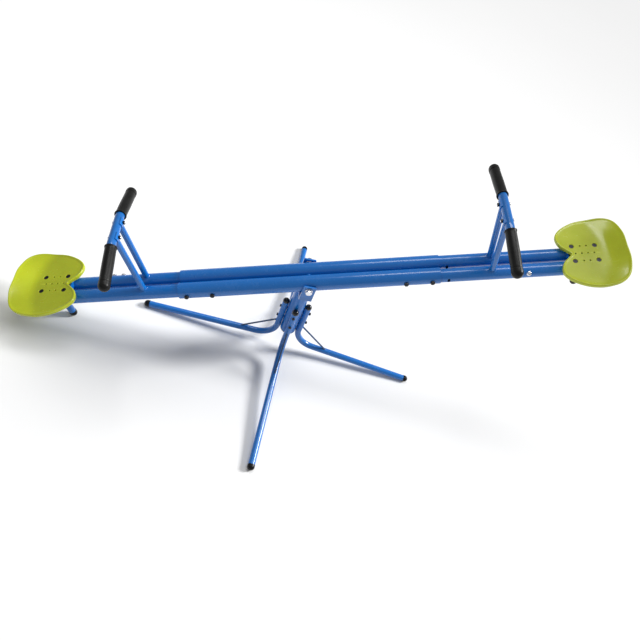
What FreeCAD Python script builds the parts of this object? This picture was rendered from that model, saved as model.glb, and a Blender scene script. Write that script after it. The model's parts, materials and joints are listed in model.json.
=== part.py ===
"""A children's swivelling seesaw, built piece by piece as a parametric FreeCAD document.

Frame: the origin is on the ground under the swivel axis, +Z is up and the beam runs along X, with its right
(+X) end raised and the bumper under its left seat standing on the ground. "Near" is the -Y side.
Lengths are millimetres and angles are degrees.
"""

import FreeCAD
import Part

import math
import os

from FreeCAD import Placement, Rotation, Vector

doc = FreeCAD.newDocument("seesaw")
sheet = doc.addObject("Spreadsheet::Sheet", "sizes")

SIZES = [
    ("pivot_height", 402, "height of the tilt axis above the ground"),
    ("beam_tilt", 21.4, "slope of the beam at rest"),
    ("base_yaw", 9.5, "turn of the four legs away from the beam's own directions"),
    # twin centre tubes
    ("centre_tube_length", 808, "length of each centre tube"),
    ("centre_tube_diameter", 50, "outside diameter of a centre tube"),
    ("centre_tube_wall", 1.9, "wall of a centre tube"),
    ("tube_gap", 1.1, "gap between the two centre tubes"),
    # end frames, which telescope into the centre tubes
    ("slip_clearance", 2.0, "radial play of an end tube in a centre tube"),
    ("end_tube_wall", 1.8, "wall of an end tube"),
    ("end_tube_length", 644, "length of each end tube"),
    ("end_tube_overlap", 180, "length of a pushed-in end tube inside its centre tube"),
    ("right_pull", 50, "how far the right end frame is pulled out"),
    ("left_play_share", -0.33, "share of the play that the left end frame's roll takes up"),
    ("right_play_share", 0.94, "share of the play that the right end frame's roll takes up"),
    # bolts of the telescopic joints and of the end frames
    ("joint_bolt_diameter", 8, "bolt of a telescopic joint"),
    ("joint_bolt_inset", 25, "outer joint bolt to the end of the centre tube"),
    ("joint_bolt_pitch", 80, "distance between the two bolts of a joint"),
    ("bolt_hole_play", 0.6, "how much larger than its bolt a bolt hole is, on the diameter"),
    ("side_screw_reach", 591, "inner side screw, from the middle of the beam"),
    ("side_screw_pitch", 29, "distance between the two side screws"),
    ("side_screw_lift", 30, "direction of a side screw above the level of the tube's middle"),
    ("side_screw_diameter", 8, "screw in the side of an end tube"),
    ("side_screw_length", 16, "length of its shank"),
    ("rivet_nut_diameter", 11, "body of the rivet nut that the screw turns in"),
    ("rivet_nut_length", 13, "length of that body inside the tube's surface"),
    ("rivet_nut_flange_diameter", 15, "flange of the rivet nut"),
    ("rivet_nut_flange_thickness", 0.8, "thickness of that flange at its thinnest"),
    # tilt axis
    ("sleeve_diameter", 20, "pivot sleeve welded through the centre tubes"),
    ("sleeve_stand_out", 1.2, "how far the sleeve stands out of the tubes on each side"),
    ("pivot_bolt_diameter", 12, "tilt axis bolt"),
    ("pivot_washer_diameter", 24, "washer between an ear and the pivot bolt's head or nut"),
    ("pivot_washer_thickness", 2, "thickness of that washer"),
    ("running_fit", 0.05, "radial clearance of a shaft in its bush"),
    ("side_clearance", 0.3, "clearance between turning faces"),
    ("bush_wall", 2, "wall of a pivot bush"),
    ("bush_length", 18, "length of a pivot bush inside the sleeve"),
    ("bush_flange_diameter", 24, "flange of a pivot bush"),
    ("bush_flange_thickness", 1.6, "thickness of that flange"),
    # clevis and swivel
    ("clevis_thickness", 5, "plate of the clevis"),
    ("clevis_width", 40, "width of the clevis along the beam"),
    ("clevis_drop", 48, "tilt axis down to the underside of the clevis"),
    ("clevis_rise", 18, "tilt axis up to the top of the ears"),
    ("clevis_corner", 3, "rounding of the ears' top corners"),
    ("hub_thickness", 6, "disc welded under the clevis"),
    ("spindle_diameter", 34, "spindle of the swivel"),
    ("spindle_length", 76, "length of the spindle"),
    ("swivel_flange_thickness", 4, "flange of the upper swivel bush"),
    ("upper_bush_length", 26, "upper swivel bush inside the post"),
    ("lower_bush_length", 18, "lower swivel bush"),
    ("retainer_diameter", 44, "washer that holds the spindle in the post"),
    ("retainer_thickness", 3, "thickness of that washer"),
    ("retainer_bolt_diameter", 12, "bolt that holds that washer"),
    ("retainer_bolt_depth", 25, "depth of that bolt in the spindle"),
    # centre post and legs
    ("post_diameter", 54, "centre post"),
    ("post_wall", 3, "wall of the centre post"),
    ("post_bottom_height", 117, "bottom of the post tube above the ground"),
    ("leg_diameter", 22.2, "leg tube"),
    ("leg_wall", 1.6, "wall of a leg tube"),
    ("leg_seat_gap", 0.4, "paint and weld gap between a leg and the post"),
    ("leg_top_height", 252, "top of a leg tube above the ground"),
    ("leg_bend_radius", 75, "centre line radius of a leg's bend"),
    ("leg_corner_height", 47, "where a leg's two straight lines would meet, above the ground"),
    ("leg_reach", 487, "swivel axis to the middle of a foot plug's round end"),
    ("leg_cap_head", 2, "straight part of the head of the domed plug in a leg's top"),
    ("flat_plug_head", 4, "head of a flat plug"),
    ("plug_length", 11, "part of a plug that sits inside its tube"),
    ("plug_play", 0.1, "radial play of a plug in its tube"),
    ("plug_lip", 0.9, "how far a domed plug's head stands out past its tube's surface"),
    ("foot_cap_head", 7, "straight part of the head of the domed rubber plug in a leg's foot"),
    ("foot_cap_sole", 1, "depth of the flat that the plug stands on"),
    ("leg_bolt_diameter", 6, "through bolt of a pair of legs"),
    ("leg_bolt_upper_height", 222, "upper bolt of the left and right legs"),
    ("leg_bolt_pitch", 52, "distance between the two bolts of a leg"),
    ("leg_bolt_stagger", 14, "how much higher the other pair's bolts are"),
    ("brace_diameter", 6, "brace rod of a leg"),
    ("brace_top_height", 150, "where the brace meets the upright part of the leg"),
    ("brace_reach", 168, "swivel axis to where the brace meets the sloping part"),
    # handles
    ("handle_reach", 511.6, "middle of the beam to the handle posts"),
    ("handle_post_diameter", 19, "handle post"),
    ("handle_post_wall", 1.6, "wall of a handle post"),
    ("handle_post_top_spread", 58, "distance between the two post tops"),
    ("bar_height", 242.5, "beam axis to the middle of the handlebar"),
    ("bar_offset", 3.6, "how much farther out than the posts the handlebar is"),
    ("bar_diameter", 25.4, "handlebar"),
    ("bar_wall", 1.8, "wall of the handlebar"),
    ("bar_straight", 90, "straight middle of the handlebar"),
    ("bar_bend_radius", 70, "centre line radius of the handlebar's bends"),
    ("bar_droop", 9.6, "slope of the handlebar's ends"),
    ("bar_reach", 184, "middle of the handlebar to its tube's end, across the beam"),
    ("saddle_clearance", 0.2, "clearance between the saddle and the bar"),
    ("saddle_thickness", 3, "saddle plate on a handle post"),
    ("saddle_width", 26, "saddle plate across the beam"),
    ("saddle_rise", 9.5, "middle of the handlebar up to the top of a saddle"),
    ("bar_bolt_diameter", 6, "handlebar bolt"),
    ("grip_diameter", 32, "grip"),
    ("grip_length", 124, "straight part of a grip"),
    ("grip_collar_diameter", 34, "collar at the inner end of a grip"),
    ("grip_collar_width", 4, "width of that collar"),
    ("grip_play", 0.1, "radial play of a grip on the bar"),
    # seats
    ("seat_reach", 789, "middle of the beam to the middle of the seat's holes"),
    ("seat_height", 38.5, "beam axis to the seat's pan"),
    ("seat_wall", 4.5, "wall of the seat"),
    ("seat_front", 77, "middle of the holes to the tips of the seat's two lobes"),
    ("seat_notch", 36, "depth of the notch between the lobes"),
    ("seat_back", 113.4, "middle of the holes to the seat's back edge"),
    ("seat_half_width", 124, "half the width of the seat"),
    ("seat_back_rise", 34.3, "height of the seat's back above the pan"),
    ("seat_side_rise", 2.2, "height of the seat's side edges above the pan"),
    ("seat_flat_half_width", 40.5, "middle of the seat to where its sides start to rise"),
    ("seat_crease_reach", 52, "middle of the holes to where the back starts to rise"),
    ("seat_crease_sweep", 36.6, "how much nearer that crease is at the sides"),
    ("seat_crease_length", 24.5, "length over which the pan bends up into the back"),
    ("seat_back_fall", 1.8, "how much less steep the back is at the sides"),
    ("seat_pan_margin", 10.5, "flat pan beyond the middles of the seat bolts"),
    ("seat_skirt", 11, "depth of the rim that turns down"),
    ("seat_bolt_diameter", 8, "seat bolt"),
    ("seat_bolt_along", 69.6, "distance between seat bolts along the beam"),
    ("seat_bolt_across", 54.8, "distance between seat bolts across the beam"),
    ("seat_bolt_head_diameter", 14, "head of a seat bolt"),
    ("seat_bolt_head_height", 2.4, "height of that head"),
    ("drain_hole_diameter", 5, "drain hole"),
    ("drain_hole_pitch", 18.6, "distance between drain holes"),
    ("bracket_length", 94, "seat bracket along the beam"),
    ("bracket_width", 80, "seat bracket across the beam"),
    ("bracket_thickness", 3, "plate of the seat bracket"),
    ("bracket_flange_start", 10.5, "beam axis up to the lower edges of the bracket's flanges"),
    ("bracket_relief_width", 44, "cut-out of the bracket that clears the seat's notch, across the beam"),
    ("bracket_relief_clearance", 1, "clearance between that cut-out and the notch's rim"),
    ("seat_tube_clearance", 1, "clearance of the seat's rim over the end tubes"),
    # bumper feet
    ("bumper_reach", 797, "middle of the beam to the bumper foot"),
    ("bumper_diameter", 22.2, "bumper tube"),
    ("bumper_wall", 2, "wall of the bumper tube"),
    ("bumper_plate_length", 40, "bumper plate along the beam"),
    ("bumper_plate_width", 76, "bumper plate across the beam"),
    ("bumper_plate_thickness", 3, "bumper plate"),
    ("bumper_cap_head", 8, "straight part of the head of the domed rubber plug in that tube"),
]

for row, (alias, value, meaning) in enumerate(SIZES, start=1):
    sheet.set(f"A{row}", meaning)
    sheet.set(f"B{row}", str(value))
    sheet.setAlias(f"B{row}", alias)
doc.recompute()


# ---------------------------------------------------------------- helpers

def number(size):
    """The value of an expression on the sheet's sizes; a plain number passes through."""
    if not isinstance(size, str):
        return float(size)
    result = sheet.evalExpression(size)
    return float(getattr(result, "Value", result))


def point(x, y, z):
    return Vector(number(x), number(y), number(z))


def along(direction, start=(0, 0, 0)):
    """The placement that stands a primitive's own Z on a direction, at a start point."""
    return Placement(point(*start), Rotation(Vector(0, 0, 1), Vector(*direction)))


def primitive(kind, placement, **sizes):
    made = doc.addObject(f"Part::{kind}", kind)
    for name, size in sizes.items():
        made.setExpression(name, str(size))
    made.Placement = placement
    return made


def cylinder(diameter, length, start=(0, 0, 0), direction=(0, 0, 1)):
    return primitive("Cylinder", along(direction, start), Radius=f"({diameter}) / 2", Height=length)


def ball(diameter, centre):
    return primitive("Sphere", Placement(point(*centre), Rotation()), Radius=f"({diameter}) / 2")


def dome(diameter, centre, direction):
    """Half a ball, round towards direction."""
    return primitive("Sphere", along(direction, centre), Radius=f"({diameter}) / 2",
                     Angle1="0 deg", Angle2="90 deg")


def box(size, corner):
    length, width, height = size
    place = Placement(point(*corner), Rotation())
    return primitive("Box", place, Length=length, Width=width, Height=height)


def fuse(*pieces):
    made = doc.addObject("Part::MultiFuse", "Fuse")
    made.Shapes = list(pieces)
    return made


def cut(base, *tools):
    made = doc.addObject("Part::Cut", "Cut")
    made.Base = base
    made.Tool = tools[0] if len(tools) == 1 else fuse(*tools)
    return made


def common(*pieces):
    made = doc.addObject("Part::MultiCommon", "Common")
    made.Shapes = list(pieces)
    return made


def group(pieces):
    """Identical loose pieces that share one node, as separate solids."""
    made = doc.addObject("Part::Compound", "Group")
    made.Links = list(pieces)
    return made


def placed(piece, placement):
    piece.Placement = placement.multiply(piece.Placement)
    return piece


def tube(diameter, wall, length, start, direction, holes=()):
    outer = cylinder(diameter, length, start, direction)
    bore = cylinder(f"{diameter} - 2 * ({wall})", length, start, direction)
    return cut(outer, bore, *holes)


def chain(diameter, start, heading, side, steps):
    """Straight and bent lengths of round bar in a row, each carrying on from the one before.

    heading is the direction of travel and side points to the centre of a bend. A step is
    ("straight", length) or ("bend", radius, angle, sign), where sign -1 bends away from side.
    """
    at, heading, side = point(*start), Vector(*heading), Vector(*side)
    pieces = []
    for kind, *step in steps:
        if kind == "straight":
            pieces.append(cylinder(diameter, step[0], tuple(at), tuple(heading)))
            at = at + heading * number(step[0])
            continue
        radius, angle, sign = step
        inward = side * sign
        centre = at + inward * number(radius)
        turn = Rotation(-inward, heading, (-inward).cross(heading), "ZXY")
        pieces.append(primitive("Torus", Placement(centre, turn),
                                Radius1=radius, Radius2=f"({diameter}) / 2", Angle3=angle))
        bend = math.radians(number(angle))
        new_heading = heading * math.cos(bend) + inward * math.sin(bend)
        new_inward = inward * math.cos(bend) - heading * math.sin(bend)
        at = centre - new_inward * number(radius)
        heading, side = new_heading, new_inward * sign
    return fuse(*pieces)


def bent_tube(diameter, wall, start, heading, side, steps):
    outer = chain(diameter, start, heading, side, steps)
    inner = chain(f"({diameter}) - 2 * ({wall})", start, heading, side, steps)
    return outer, inner


# Heads and nuts, as multiples of the thread's diameter.
HEX_ACROSS_FLATS = 1.6
HEX_HEAD_HEIGHT = 0.6
NUT_HEIGHT = 0.8
BUTTON_HEAD_DIAMETER = 1.75
BUTTON_HEAD_HEIGHT = 0.5
SOCKET_ACROSS_FLATS = 0.6
SOCKET_DEPTH = 0.3


def hex_prism(across_flats, height, start, direction):
    corner_radius = f"({across_flats}) / sqrt(3)"
    made = primitive("Prism", along(direction, start), Circumradius=corner_radius, Height=height)
    made.Polygon = 6
    return made


def backwards(direction):
    return tuple(-part for part in direction)


def stepped_back(start, direction, distance):
    moved = point(*start) - Vector(*direction) * number(distance)
    return tuple(moved)


def hex_bolt(diameter, length, start, direction):
    """A hexagon bolt: its head's seat is at start and its shank runs along direction."""
    head = hex_prism(f"{HEX_ACROSS_FLATS} * {diameter}", f"{HEX_HEAD_HEIGHT} * {diameter}",
                     start, backwards(direction))
    return fuse(head, cylinder(diameter, length, start, direction))


def button_bolt(diameter, length, start, direction):
    """A round-headed bolt with a hexagon socket."""
    height = f"{BUTTON_HEAD_HEIGHT} * {diameter}"
    top = stepped_back(start, direction, height)
    head = cylinder(f"{BUTTON_HEAD_DIAMETER} * {diameter}", height, top, direction)
    socket = hex_prism(f"{SOCKET_ACROSS_FLATS} * {diameter}", f"{SOCKET_DEPTH} * {diameter}", top, direction)
    return fuse(cut(head, socket), cylinder(diameter, length, start, direction))


def nut(diameter, start, direction):
    """A hexagon nut whose seat is at start and which stands along direction."""
    height = f"{NUT_HEIGHT} * {diameter}"
    body = hex_prism(f"{HEX_ACROSS_FLATS} * {diameter}", height, start, direction)
    return cut(body, cylinder(f"{diameter} + 2 * sizes.running_fit", height, start, direction))


def washer(bolt_diameter, diameter, thickness, start, direction):
    hole = cylinder(f"{bolt_diameter} + 2 * sizes.running_fit", thickness, start, direction)
    return cut(cylinder(diameter, thickness, start, direction), hole)


parts = {}


def part(label, piece, frame):
    """Names a finished sub-part and puts it where its frame is."""
    piece.Label = label
    piece.Placement = frame.multiply(piece.Placement)
    parts[label] = piece


# ---------------------------------------------------------------- shared sizes and frames

SPACING = "(sizes.centre_tube_diameter + sizes.tube_gap)"
END_DIAMETER = "(sizes.centre_tube_diameter - 2 * sizes.centre_tube_wall - 2 * sizes.slip_clearance)"
TUBES_HALF_WIDTH = f"(({SPACING} + sizes.centre_tube_diameter) / 2)"
LEG_CENTRE = "(sizes.post_diameter / 2 + sizes.leg_seat_gap + sizes.leg_diameter / 2)"
FOOT_CAP_DIAMETER = "(sizes.leg_diameter + 2 * sizes.plug_lip)"
FOOT_CENTRE_HEIGHT = f"({FOOT_CAP_DIAMETER} / 2 - sizes.foot_cap_sole)"
LEG_SLOPE = (f"atan((sizes.leg_corner_height - {FOOT_CENTRE_HEIGHT})"
             f" / (sizes.leg_reach - {LEG_CENTRE}))")

UP = (0, 0, 1)
DOWN = (0, 0, -1)
OUT = (1, 0, 0)
ACROSS = (0, 1, 0)
NEAR, FAR = -1, 1

BASE = Placement()
HEAD = Placement(point(0, 0, "sizes.pivot_height"), Rotation())
BEAM = Placement(HEAD.Base, Rotation(Vector(0, 1, 0), -number("sizes.beam_tilt")))


def roll(share):
    """Roll of an end frame about the beam's axis, which takes up that share of its tubes' play."""
    drop = number("sizes.slip_clearance") * number(share)
    return math.degrees(math.asin(drop / (number(SPACING) / 2)))


LEFT_ROLL = roll("sizes.left_play_share")
RIGHT_ROLL = roll("sizes.right_play_share")
ROLL_FRAMES = {
    "left": BEAM.multiply(Placement(Vector(), Rotation(Vector(1, 0, 0), LEFT_ROLL))).multiply(
        Placement(Vector(), Rotation(Vector(0, 0, 1), 180))),
    "right": BEAM.multiply(Placement(point("sizes.right_pull", 0, 0),
                                     Rotation(Vector(1, 0, 0), RIGHT_ROLL))),
}
# The left end frame is the right one turned half round, so its near side is at its own +Y.
OWN_SIDE = {"left": {"near": FAR, "far": NEAR}, "right": {"near": NEAR, "far": FAR}}
ENDS = ("left", "right")
SIDES = ("near", "far")


# ---------------------------------------------------------------- base: post, legs, braces, caps, bolts

SPINDLE_TOP = "(sizes.pivot_height - sizes.clevis_drop - sizes.hub_thickness)"
SPINDLE_END = f"({SPINDLE_TOP} - sizes.spindle_length)"
POST_TOP = f"({SPINDLE_TOP} - sizes.side_clearance - sizes.swivel_flange_thickness)"
LOWER_BUSH_TOP = f"({SPINDLE_END} + sizes.side_clearance + sizes.lower_bush_length)"
POST_BORE = "(sizes.post_diameter - 2 * sizes.post_wall)"
LEG_BOLT_HOLE = "(sizes.leg_bolt_diameter + sizes.bolt_hole_play)"
LEG_OUTSIDE = f"({LEG_CENTRE} + sizes.leg_diameter / 2)"
LEG_NAMES = ("right", "rear", "left", "front")


def leg_frame(index):
    return Placement(Vector(), Rotation(Vector(0, 0, 1), 90 * index - number("sizes.base_yaw")))


def leg_bolt_heights(index):
    raised = "sizes.leg_bolt_stagger" if index % 2 else "0"
    upper = f"sizes.leg_bolt_upper_height + {raised}"
    return upper, f"{upper} - sizes.leg_bolt_pitch"


def centre_post():
    holes = []
    for index in (0, 1):
        for height in leg_bolt_heights(index):
            start = ("-sizes.post_diameter", 0, height)
            hole = cylinder(LEG_BOLT_HOLE, "2 * sizes.post_diameter", start, OUT)
            holes.append(placed(hole, leg_frame(index)))
    return tube("sizes.post_diameter", "sizes.post_wall", f"{POST_TOP} - sizes.post_bottom_height",
                (0, 0, "sizes.post_bottom_height"), UP, holes)


def plug(diameter, bore, head, start, direction):
    """A plastic plug: a head outside the tube, whose seat is at start, and a body in the bore."""
    head_piece = cylinder(diameter, head, start, direction)
    body = cylinder(f"{bore} - 2 * sizes.plug_play", "sizes.plug_length", start, backwards(direction))
    return fuse(head_piece, body)


def domed_plug(tube_diameter, tube_wall, head, start, direction):
    """A plug for that tube, whose head is straight for that length and then round."""
    diameter = f"({tube_diameter} + 2 * sizes.plug_lip)"
    bore = f"({tube_diameter} - 2 * {tube_wall})"
    top = stepped_back(start, backwards(direction), head)
    return fuse(plug(diameter, bore, head, start, direction), dome(diameter, top, direction))


def swivel_bush(length, top, flange="0"):
    """A bush pressed into the post below its top height, with a flange of that thickness above."""
    bush = cylinder(f"{POST_BORE} - 2 * sizes.plug_play", length, (0, 0, top), DOWN)
    if number(flange):
        bush = fuse(bush, cylinder("sizes.post_diameter", flange, (0, 0, top), UP))
    bore = cylinder("sizes.spindle_diameter + 2 * sizes.running_fit", f"{length} + {flange}",
                    (0, 0, f"{top} + {flange}"), DOWN)
    return cut(bush, bore)


LEG_TURN = f"90 deg - {LEG_SLOPE}"
LEG_TANGENT = f"(sizes.leg_bend_radius * tan(45 deg - {LEG_SLOPE} / 2))"
LEG_UPRIGHT = f"(sizes.leg_top_height - sizes.leg_corner_height - {LEG_TANGENT})"
LEG_SLOPING = f"((sizes.leg_reach - {LEG_CENTRE}) / cos({LEG_SLOPE}) - {LEG_TANGENT})"
SLOPE_ANGLE = math.radians(number(LEG_SLOPE))
SLOPE_HEADING = (math.cos(SLOPE_ANGLE), 0, -math.sin(SLOPE_ANGLE))


def leg(index):
    steps = [("straight", LEG_UPRIGHT), ("bend", "sizes.leg_bend_radius", LEG_TURN, 1),
             ("straight", f"{LEG_SLOPING} - sizes.foot_cap_head")]
    outer, inner = bent_tube("sizes.leg_diameter", "sizes.leg_wall",
                             (LEG_CENTRE, 0, "sizes.leg_top_height"), DOWN, OUT, steps)
    holes = [cylinder(LEG_BOLT_HOLE, LEG_OUTSIDE, (0, 0, height), OUT)
             for height in leg_bolt_heights(index)]
    return cut(outer, inner, *holes)


def brace():
    """A rod from the upright part of a leg to its sloping part, coped to both."""
    corner = point(LEG_CENTRE, 0, "sizes.leg_corner_height")
    top = point(LEG_CENTRE, 0, "sizes.brace_top_height")
    out = number("sizes.brace_reach") - corner.x
    foot = corner + Vector(out, 0, -out * math.tan(SLOPE_ANGLE))
    direction = foot - top
    rod = cylinder("sizes.brace_diameter", direction.Length, tuple(top), tuple(direction.normalize()))
    leg_clear = "sizes.leg_diameter + 2 * sizes.running_fit"
    upright = cylinder(leg_clear, "sizes.leg_top_height - sizes.leg_corner_height",
                       (corner.x, 0, corner.z), UP)
    sloping = cylinder(leg_clear, f"sizes.leg_reach - {LEG_CENTRE}", tuple(corner), SLOPE_HEADING)
    return cut(rod, upright, sloping)


def leg_top_cap():
    """A domed plug, trimmed where its lip meets the post."""
    start = (LEG_CENTRE, 0, "sizes.leg_top_height")
    piece = domed_plug("sizes.leg_diameter", "sizes.leg_wall", "sizes.leg_cap_head", start, UP)
    return cut(piece, cylinder("sizes.post_diameter + 2 * sizes.plug_play", "sizes.pivot_height"))


def foot_cap():
    """A rubber plug in the foot of a leg, with a round end and a flat sole on the ground."""
    end = ("sizes.leg_reach", 0, FOOT_CENTRE_HEIGHT)
    seat = stepped_back(end, SLOPE_HEADING, "sizes.foot_cap_head")
    piece = domed_plug("sizes.leg_diameter", "sizes.leg_wall", "sizes.foot_cap_head", seat, SLOPE_HEADING)
    room = f"4 * {FOOT_CAP_DIAMETER}"
    ground = box((room, room, FOOT_CAP_DIAMETER),
                 (f"sizes.leg_reach - 2 * {FOOT_CAP_DIAMETER}", f"-2 * {FOOT_CAP_DIAMETER}",
                  f"-{FOOT_CAP_DIAMETER}"))
    return cut(piece, ground)


def leg_fasteners():
    bolts, nuts = [], []
    for index in (0, 1):
        for height in leg_bolt_heights(index):
            grip = f"2 * {LEG_OUTSIDE}"
            start = (-number(LEG_OUTSIDE), 0, height)
            end = (LEG_OUTSIDE, 0, height)
            length = f"{grip} + sizes.leg_bolt_diameter"
            bolt = hex_bolt("sizes.leg_bolt_diameter", length, start, OUT)
            bolts.append(placed(bolt, leg_frame(index)))
            nuts.append(placed(nut("sizes.leg_bolt_diameter", end, OUT), leg_frame(index)))
    return bolts, nuts


part("centre_post", centre_post(), BASE)
part("post_cap", plug("sizes.post_diameter", POST_BORE, "sizes.flat_plug_head",
                      (0, 0, "sizes.post_bottom_height"), DOWN), BASE)
part("upper_swivel_bush", swivel_bush("sizes.upper_bush_length", POST_TOP,
                                      "sizes.swivel_flange_thickness"), BASE)
part("lower_swivel_bush", swivel_bush("sizes.lower_bush_length", LOWER_BUSH_TOP), BASE)
for leg_index, leg_name in enumerate(LEG_NAMES):
    part(f"leg_{leg_name}", leg(leg_index), leg_frame(leg_index))
    part(f"brace_{leg_name}", brace(), leg_frame(leg_index))
leg_places = [leg_frame(index) for index in range(len(LEG_NAMES))]
part("leg_top_caps", group([placed(leg_top_cap(), place) for place in leg_places]), BASE)
part("foot_caps", group([placed(foot_cap(), place) for place in leg_places]), BASE)
leg_bolts, leg_nuts = leg_fasteners()
part("leg_bolts", group(leg_bolts), BASE)
part("leg_nuts", group(leg_nuts), BASE)


# ---------------------------------------------------------------- swivel head: clevis, spindle, pivot bolt

EAR_INSIDE = (f"({TUBES_HALF_WIDTH} + sizes.sleeve_stand_out + sizes.bush_flange_thickness"
              " + sizes.side_clearance)")
EAR_OUTSIDE = f"({EAR_INSIDE} + sizes.clevis_thickness)"
PIVOT_WASHER_OUTSIDE = f"({EAR_OUTSIDE} + sizes.pivot_washer_thickness)"
PIVOT_HOLE = "sizes.pivot_bolt_diameter + sizes.bolt_hole_play"
SPINDLE_FOOT = (0, 0, f"{SPINDLE_END} - sizes.pivot_height")


def clevis():
    """A U of plate with two ears, and the hub disc welded under it."""
    rise = "sizes.clevis_drop + sizes.clevis_rise"
    bottom = "-sizes.clevis_drop"
    outer = box(("sizes.clevis_width", f"2 * {EAR_OUTSIDE}", rise),
                ("-sizes.clevis_width / 2", f"-{EAR_OUTSIDE}", bottom))
    room = box(("sizes.clevis_width", f"2 * {EAR_INSIDE}", rise),
               ("-sizes.clevis_width / 2", f"-{EAR_INSIDE}", f"{bottom} + sizes.clevis_thickness"))
    hole = cylinder(PIVOT_HOLE, f"2 * {EAR_OUTSIDE}", (0, f"-{EAR_OUTSIDE}", 0), ACROSS)
    plate = cut(outer, room, hole)
    doc.recompute()
    rounded = doc.addObject("Part::Fillet", "Fillet")
    rounded.Base = plate
    top, corner = number("sizes.clevis_rise"), number("sizes.clevis_corner")
    edges = [index for index, edge in enumerate(plate.Shape.Edges, start=1)
             if edge.BoundBox.ZMin > top - 0.01 and edge.BoundBox.XLength < 0.01]
    rounded.Edges = [(index, corner, corner) for index in edges]
    hub = cylinder("sizes.post_diameter", "sizes.hub_thickness", (0, 0, bottom), DOWN)
    return fuse(rounded, hub)


def spindle():
    """A solid spindle, tapped at its lower end."""
    body = cylinder("sizes.spindle_diameter", "sizes.spindle_length", SPINDLE_FOOT, UP)
    tapped = cylinder("sizes.retainer_bolt_diameter + 2 * sizes.running_fit",
                      "sizes.retainer_bolt_depth + sizes.side_clearance", SPINDLE_FOOT, UP)
    return cut(body, tapped)


def retainer_bolt():
    start = (0, 0, f"{SPINDLE_FOOT[2]} - sizes.retainer_thickness")
    return hex_bolt("sizes.retainer_bolt_diameter",
                    "sizes.retainer_thickness + sizes.retainer_bolt_depth", start, UP)


def pivot_bolt():
    start = (0, f"-{PIVOT_WASHER_OUTSIDE}", 0)
    length = f"2 * {PIVOT_WASHER_OUTSIDE} + sizes.pivot_bolt_diameter"
    return hex_bolt("sizes.pivot_bolt_diameter", length, start, ACROSS)


def pivot_washers():
    pieces = []
    for direction in (backwards(ACROSS), ACROSS):
        start = (0, direction[1] * number(EAR_OUTSIDE), 0)
        pieces.append(washer("sizes.pivot_bolt_diameter", "sizes.pivot_washer_diameter",
                             "sizes.pivot_washer_thickness", start, direction))
    return pieces


part("clevis", clevis(), HEAD)
part("spindle", spindle(), HEAD)
part("retainer_washer", washer("sizes.retainer_bolt_diameter", "sizes.retainer_diameter",
                               "sizes.retainer_thickness", SPINDLE_FOOT, DOWN), HEAD)
part("retainer_bolt", retainer_bolt(), HEAD)
part("pivot_bolt", pivot_bolt(), HEAD)
part("pivot_nut", nut("sizes.pivot_bolt_diameter", (0, PIVOT_WASHER_OUTSIDE, 0), ACROSS), HEAD)
part("pivot_washers", group(pivot_washers()), HEAD)


# ---------------------------------------------------------------- beam: centre tubes and tilt axis

TUBE_END = "(sizes.centre_tube_length / 2)"
BOLT_HOLE = "(sizes.joint_bolt_diameter + sizes.bolt_hole_play)"
JOINT_STATIONS = (f"({TUBE_END} - sizes.joint_bolt_inset)",
                  f"({TUBE_END} - sizes.joint_bolt_inset - sizes.joint_bolt_pitch)")
SLEEVE_HALF = f"({TUBES_HALF_WIDTH} + sizes.sleeve_stand_out)"
# A cross hole's tool ends in the gap between the two tubes.
CROSS_REACH = number("sizes.centre_tube_diameter / 2 + sizes.tube_gap / 3")


def cross_hole(diameter, station, middle=0):
    """A hole across one tube whose axis is at y = middle."""
    return cylinder(diameter, f"{2 * CROSS_REACH}", (station, middle - CROSS_REACH, 0), ACROSS)


def centre_tube(side):
    middle = side * number(SPACING) / 2
    holes = [cross_hole("sizes.sleeve_diameter + 2 * sizes.plug_play", 0, middle)]
    for end in (-1, 1):
        holes += [cross_hole(BOLT_HOLE, end * number(station), middle) for station in JOINT_STATIONS]
    return tube("sizes.centre_tube_diameter", "sizes.centre_tube_wall", "sizes.centre_tube_length",
                (f"-{TUBE_END}", middle, 0), OUT, holes)


BUSH_BORE = "(sizes.pivot_bolt_diameter + 2 * sizes.running_fit)"
BUSH_DIAMETER = f"({BUSH_BORE} + 2 * sizes.bush_wall)"


def pivot_sleeve():
    bore = f"{BUSH_DIAMETER} + 2 * sizes.plug_play"
    start = (0, f"-{SLEEVE_HALF}", 0)
    outer = cylinder("sizes.sleeve_diameter", f"2 * {SLEEVE_HALF}", start, ACROSS)
    return cut(outer, cylinder(bore, f"2 * {SLEEVE_HALF}", start, ACROSS))


def pivot_bush(direction):
    """A flanged bush in one end of the sleeve."""
    seat = tuple(Vector(*direction) * number(SLEEVE_HALF))
    body = cylinder(BUSH_DIAMETER, "sizes.bush_length", seat, backwards(direction))
    flange = cylinder("sizes.bush_flange_diameter", "sizes.bush_flange_thickness", seat, direction)
    inner = stepped_back(seat, direction, "sizes.bush_length")
    hole = cylinder(BUSH_BORE, "sizes.bush_length + sizes.bush_flange_thickness", inner, direction)
    return cut(fuse(body, flange), hole)


part("centre_tube_near", centre_tube(NEAR), BEAM)
part("centre_tube_far", centre_tube(FAR), BEAM)
part("pivot_sleeve", pivot_sleeve(), BEAM)
part("pivot_bushes", group([pivot_bush(backwards(ACROSS)), pivot_bush(ACROSS)]), BEAM)


# ---------------------------------------------------------------- end frames: tubes, plugs, bolts

def slot(station, middle, slack):
    """An upright slot across an end tube, which leaves a joint bolt room for the frame's roll."""
    low = cross_hole(BOLT_HOLE, station, middle)
    high = cross_hole(BOLT_HOLE, station, middle)
    low.Placement.Base.z -= slack
    high.Placement.Base.z += slack
    web = box((BOLT_HOLE, f"{2 * CROSS_REACH}", f"{2 * slack}"),
              (f"{station} - {BOLT_HOLE} / 2", middle - CROSS_REACH, -slack))
    return fuse(low, high, web)


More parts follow.
